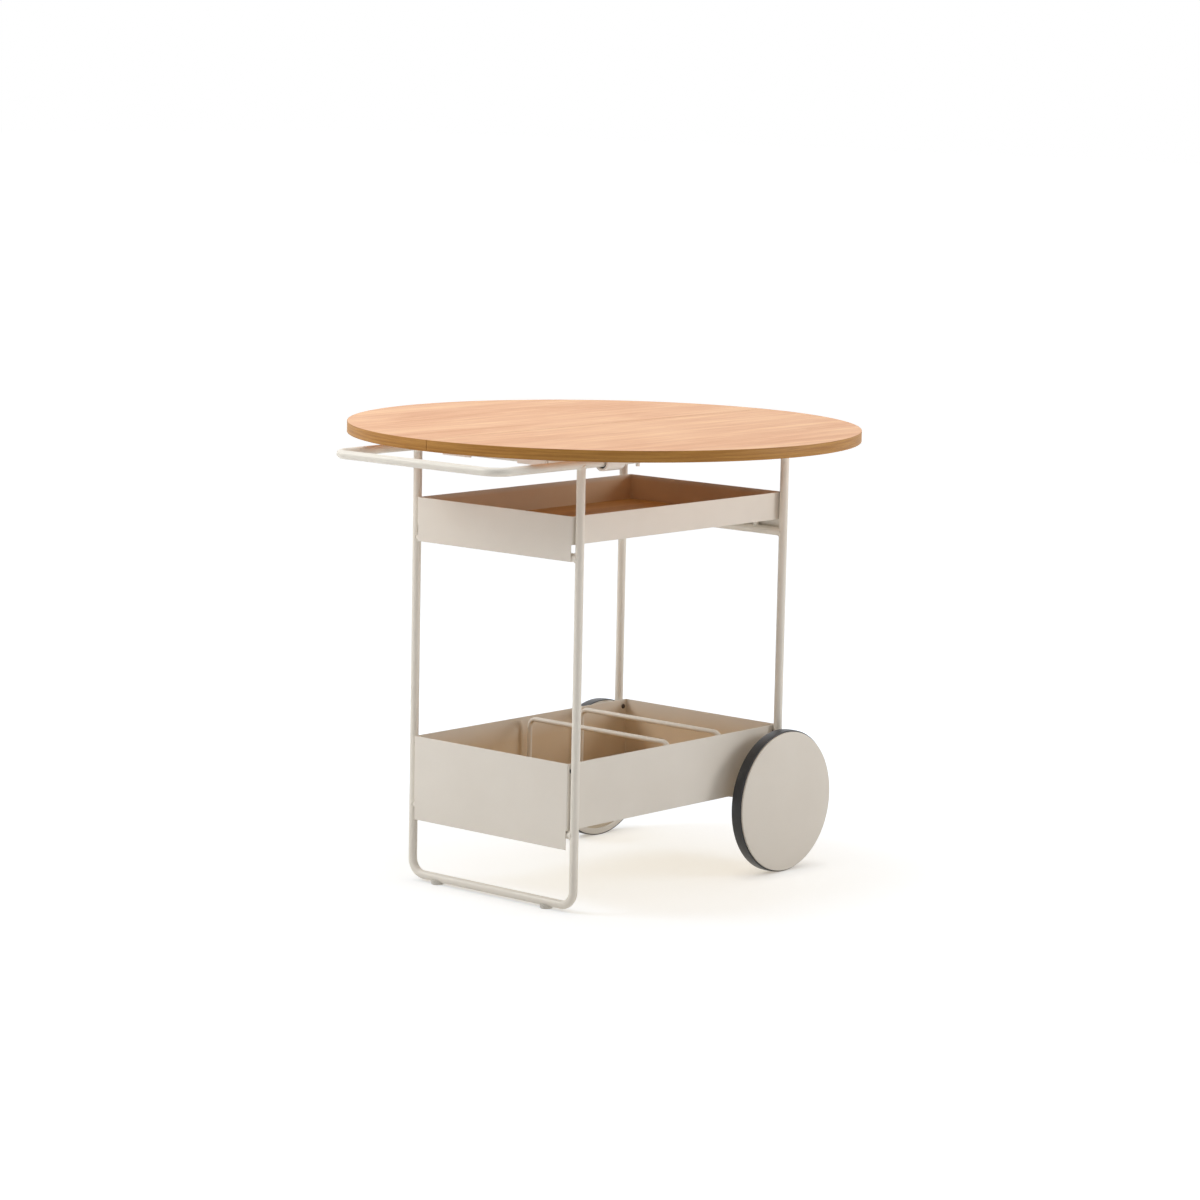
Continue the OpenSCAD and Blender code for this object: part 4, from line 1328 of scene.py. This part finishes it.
@dataclass(frozen=True)
class DiscWheel:
    """One wheel: outer disc, tyre and inner ring, turned about the axle."""

    side: Side
    ease: float = 0.9 * MM
    crown: float = 0.35 * MM
    chamfer: float = 0.4 * MM
    tyre_depth: float = 8 * MM
    lip_depth: float = 1.75 * MM
    lip_width: float = 3 * MM
    lip_ease: float = 0.2 * MM
    shoulder: float = 1.0 * MM
    ring_width: float = 10 * MM
    sides: int = 192

    @property
    def body(self) -> str:
        """The body that the wheel's pieces ride on."""
        return f"{self.side.word}_wheel"

    def build(self) -> None:
        """Builds the turned pieces, each between the inner and outer planes of its node."""
        self.turn("outer_disc", "disc_face", "wheel_paint", self.disc_profile)
        self.turn("tyre", "tyre_ring", "tyre_rubber", self.tyre_profile)
        self.turn("inner_ring", "ring_face", "wheel_paint", self.ring_profile)

    def turn(self, part: str, name: str, slot: str, profile: Profile) -> None:
        """Turns one piece in place of its node.

        Args:
            part: The node's name after the wheel's.
            name: The piece's name after the wheel's.
            slot: Its material slot.
            profile: Gives the section from the node's radius and width, and whether it is a loop.
        """
        node = f"{self.body}_{part}"
        low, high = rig.box(node)
        section, loop = profile((high.x - low.x) / 2, high.y - low.y)
        outwards = Turned.ALONG_Y if self.side is Side.FAR else Turned.AGAINST_Y
        inner_y = low.y if self.side is Side.FAR else high.y
        middle = middle_of(node)
        shape = lathe(section, self.sides, loop).turned(outwards).moved(middle[0], inner_y, middle[2])
        make_piece(f"{self.body}_{name}", shape, self.body, slot, [node])

    def disc_profile(self, radius: float, width: float) -> tuple[np.ndarray, bool]:
        """Flat disc with a fine chamfer inside and a rounded rim outside."""
        back = arc((radius - self.chamfer, self.chamfer), self.chamfer, -90, 0, 3)
        face = arc((radius - self.ease, width - self.ease), self.ease, 0, 90, 5)
        rings = np.linspace(radius * 0.9, 0, 6)
        flat = np.column_stack([rings, np.full(len(rings), width)])
        return np.concatenate([[[0, 0]], back, face, flat]), False

    def tyre_profile(self, radius: float, width: float) -> tuple[np.ndarray, bool]:
        """Tyre section: lip inside, tread with a slight crown, round shoulders and a straight inner face."""
        inner, lip_r = radius - self.tyre_depth, radius - self.lip_depth
        ease, shoulder = self.lip_ease, self.shoulder
        across = np.linspace(-1, 1, 9)
        tread = np.column_stack([radius - self.crown * across ** 2,
                                 width / 2 + across * (width / 2 - shoulder)])
        low = arc((radius - self.crown - shoulder, shoulder), shoulder, -90, 0, 5)[:-1]
        high = arc((radius - self.crown - shoulder, width - shoulder), shoulder, 0, 90, 5)[1:]
        lip = [[inner, self.lip_width], [lip_r, self.lip_width], [lip_r, ease], [lip_r + ease, 0]]
        return np.concatenate([lip, low, tread, high, [[inner, width]]]), True

    def ring_profile(self, radius: float, width: float) -> tuple[np.ndarray, bool]:
        """Ring section with eased edges."""
        return round_rect((radius - self.ring_width, radius), (0, width), self.chamfer, 3), True


def dress_nodes() -> None:
    """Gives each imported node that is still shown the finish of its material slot."""
    for part in frame["record"]["subparts"]:
        node = frame["nodes"][part["node"]]
        node.data.materials.clear()
        node.data.materials.append(FINISHES[part["material_slot"]].material())
        log.info("%s: %s", part["node"], part["material_slot"])


# Studio


@dataclass(frozen=True)
class Lamp:
    """A round soft lamp that hangs at a spot and faces its aim; size is its diameter and power in watts."""

    name: str
    spot: tuple[float, float, float]
    aim: tuple[float, float, float]
    size: float
    power: float
    colour: Colour = (1.0, 0.995, 0.985)

    def build(self) -> None:
        """Hangs the lamp."""
        data = bpy.data.lights.new(self.name, "AREA")
        data.shape = "DISK"
        data.size = self.size
        data.energy = self.power
        data.color = self.colour
        holder = bpy.data.objects.new(self.name, data)
        holder.matrix_world = facing(np.array(self.spot), np.array(self.aim))
        bpy.context.scene.collection.objects.link(holder)


@dataclass(frozen=True)
class Studio:
    """White floor, soft lamps and a pale world."""

    floor_half: float = 40.0
    horizon_light: float = 0.1
    zenith_light: float = 0.8
    world_colour: Colour = (1.0, 0.995, 0.985)
    lamp_light: float = 0.28
    near_floor: tuple[float, float] = (0.35, 1.1)
    floor_colour: Colour = (0.93, 0.915, 0.895)
    floor_shade: Colour = (0.31, 0.42, 0.58)
    floor_white: float = 1.015
    # Colour of the painted contact shadow under the pieces, and how far from them it reaches.
    contact_shade: Colour = (0.36, 0.33, 0.28)
    contact_reach: float = 0.045
    lamps: tuple[Lamp, ...] = (
        Lamp("overhead_softbox", (0.2, 0.3, 3.4), (0.0, 0.0, 0.7), 2.4, 26.0, (1.0, 0.99, 0.975)),
        Lamp("left_softbox", (-2.3, 2.3, 2.6), (0.0, 0.0, 0.4), 1.6, 60.0),
        Lamp("right_softbox", (2.3, -3.0, 1.35), (0.0, 0.0, 0.4), 1.5, 39.0),
    )

    def build(self) -> None:
        """Builds the floor, the world and the lamps."""
        self.build_floor()
        self.build_world()
        for lamp in self.lamps:
            lamp.build()

    def build_floor(self) -> None:
        """Lays a floor that bounces light as a pale one does and shows the camera white with the shadow and a painted
        contact shadow.
        """
        half = self.floor_half
        mesh = bpy.data.meshes.new("studio_floor")
        corners = [(-half, -half, 0), (half, -half, 0), (half, half, 0), (-half, half, 0)]
        mesh.from_pydata(corners, [], [(0, 1, 2, 3)])
        floor = bpy.data.objects.new("studio_floor", mesh)
        bpy.context.scene.collection.objects.link(floor)
        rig.stage(floor)
        material = bpy.data.materials.new("studio_white")
        n = Nodes(material)
        bounce = n.node("ShaderNodeBsdfDiffuse", {"Color": (*self.floor_colour, 1.0)})
        shaded = n.node("ShaderNodeBsdfDiffuse", {"Color": (*self.floor_shade, 1.0)})
        glow = n.node("ShaderNodeEmission", {"Color": self.floor_glow(n)})
        seen = n.node("ShaderNodeAddShader", {0: shaded.outputs[0], 1: glow.outputs[0]})
        n.show("ShaderNodeOutputMaterial", n.seen_rays(), bounce, seen)
        mesh.materials.append(material)

    def floor_glow(self, n: Nodes) -> NodeSocket:
        """White less the light that the open floor gets: the world's, and near the cart the lamps' too.

        The lamps' share falls from the whole to none between the radii of near_floor, and within contact_reach
        of a piece a painted contact shadow, contact_shade, comes off by the share of the sky that the piece hides.

        Args:
            n: The floor's nodes.

        Returns:
            The colour.
        """
        shade = np.array(self.floor_shade)
        far = self.floor_white - (self.horizon_light + self.zenith_light) / 2 * shade
        radius = n.vectors("LENGTH", n.node("ShaderNodeTexCoord").outputs["Object"], result="Value")
        near = n.spread(radius, self.near_floor, (1.0, 0.0), "SMOOTHSTEP")
        lit = n.blended(near, tuple(far), tuple(self.lamp_light * shade), "SUBTRACT")
        # Painted contact shadow: ambient occlusion darkens the floor's glow near the pieces.
        around = n.node("ShaderNodeAmbientOcclusion", {"Distance": self.contact_reach})
        painted_shadow_share = n.math("SUBTRACT", 1.0, around.outputs["AO"])
        return n.blended(painted_shadow_share, lit, self.contact_shade, "SUBTRACT")

    def build_world(self) -> None:
        """Makes a world that shows as white and sheds light of horizon + (zenith - horizon) z^2."""
        world = bpy.data.worlds.new("pale_world")
        bpy.context.scene.world = world
        n = Nodes(world)
        z = n.axes(n.node("ShaderNodeTexCoord").outputs["Generated"])[2]
        rise = n.math("MULTIPLY", n.math("MULTIPLY", z, z), self.zenith_light - self.horizon_light)
        strength = n.math("ADD", rise, self.horizon_light)
        light = n.node("ShaderNodeBackground", {"Color": (*self.world_colour, 1.0), "Strength": strength})
        white = n.node("ShaderNodeBackground", {"Color": (1.0, 1.0, 1.0, 1.0)})
        n.show("ShaderNodeOutputWorld", n.seen_rays(), light, white)


def facing(spot: np.ndarray, aim: np.ndarray, roll: float = 0.0) -> "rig.Matrix":
    """Placement of a lamp or camera that looks from a spot towards a point.

    Args:
        spot: Where it stands.
        aim: The point in the middle of its view.
        roll: Angle in radians by which it is turned about its view.

    Returns:
        The object's matrix, whose -Z axis points at the aim.
    """
    back = (spot - aim) / np.linalg.norm(spot - aim)
    right = np.cross([0.0, 0.0, 1.0], back)
    right = right / np.linalg.norm(right)
    up = np.cross(back, right)
    side, top = math.cos(roll) * right + math.sin(roll) * up, math.cos(roll) * up - math.sin(roll) * right
    matrix = np.eye(4)
    matrix[:3, 0], matrix[:3, 1], matrix[:3, 2], matrix[:3, 3] = side, top, back, spot
    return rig.Matrix(matrix.tolist())


@dataclass(frozen=True)
class PhotoCamera:
    """Camera at the photograph's place."""

    focal_px: float = 3748.0
    image_px: float = 1200.0
    sensor_mm: float = 36.0
    distance: float = 6.093
    azimuth: float = -48.96
    elevation: float = 8.29
    roll: float = 1.16
    aim: tuple[float, float, float] = (0.0147, 0.0, 0.4521)

    def build(self) -> None:
        """Stands the camera at its distance, azimuth and elevation from the aim, and makes it the scene's."""
        azimuth, elevation = math.radians(self.azimuth), math.radians(self.elevation)
        back = np.array([math.sin(azimuth) * math.cos(elevation), -math.cos(azimuth) * math.cos(elevation),
                         math.sin(elevation)])
        data = bpy.data.cameras.new("photo_camera")
        data.sensor_width = self.sensor_mm
        data.lens = self.focal_px / self.image_px * self.sensor_mm
        camera = bpy.data.objects.new("photo_camera", data)
        aim = np.array(self.aim)
        camera.matrix_world = facing(aim + self.distance * back, aim, math.radians(self.roll))
        bpy.context.scene.collection.objects.link(camera)
        bpy.context.scene.camera = camera


def main() -> None:
    """Builds the cart's looks, the studio and the camera, and writes both sizes."""
    logging.basicConfig(level=logging.INFO, format="%(name)s: %(message)s")
    at = Layout.from_frame()
    dress_nodes()
    TubeFrame(at).build()
    sheet = SheetTray.sheet
    SheetTray("upper_tray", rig.box("upper_tray_floor_panel")[0].z - sheet).build()
    SheetTray("lower_tray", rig.box("front_divider")[0].z - sheet).build()
    for node in ("front_divider", "rear_divider"):
        BottleDivider(node).build()
    TrayFixings(at).build()
    for side in Side:
        Leaf(side, at).build()
        DiscWheel(side).build()
    Studio().build()
    PhotoCamera().build()
    bpy.context.scene.view_settings.view_transform = "Standard"
    sizes = {"cad": [list(c) for c in CAD_BOUNDS], "visual": [list(c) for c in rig.bounds()]}
    with open("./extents.json", "w", encoding="utf-8") as file:
        json.dump(sizes, file)


if __name__ == "__main__":
    main()
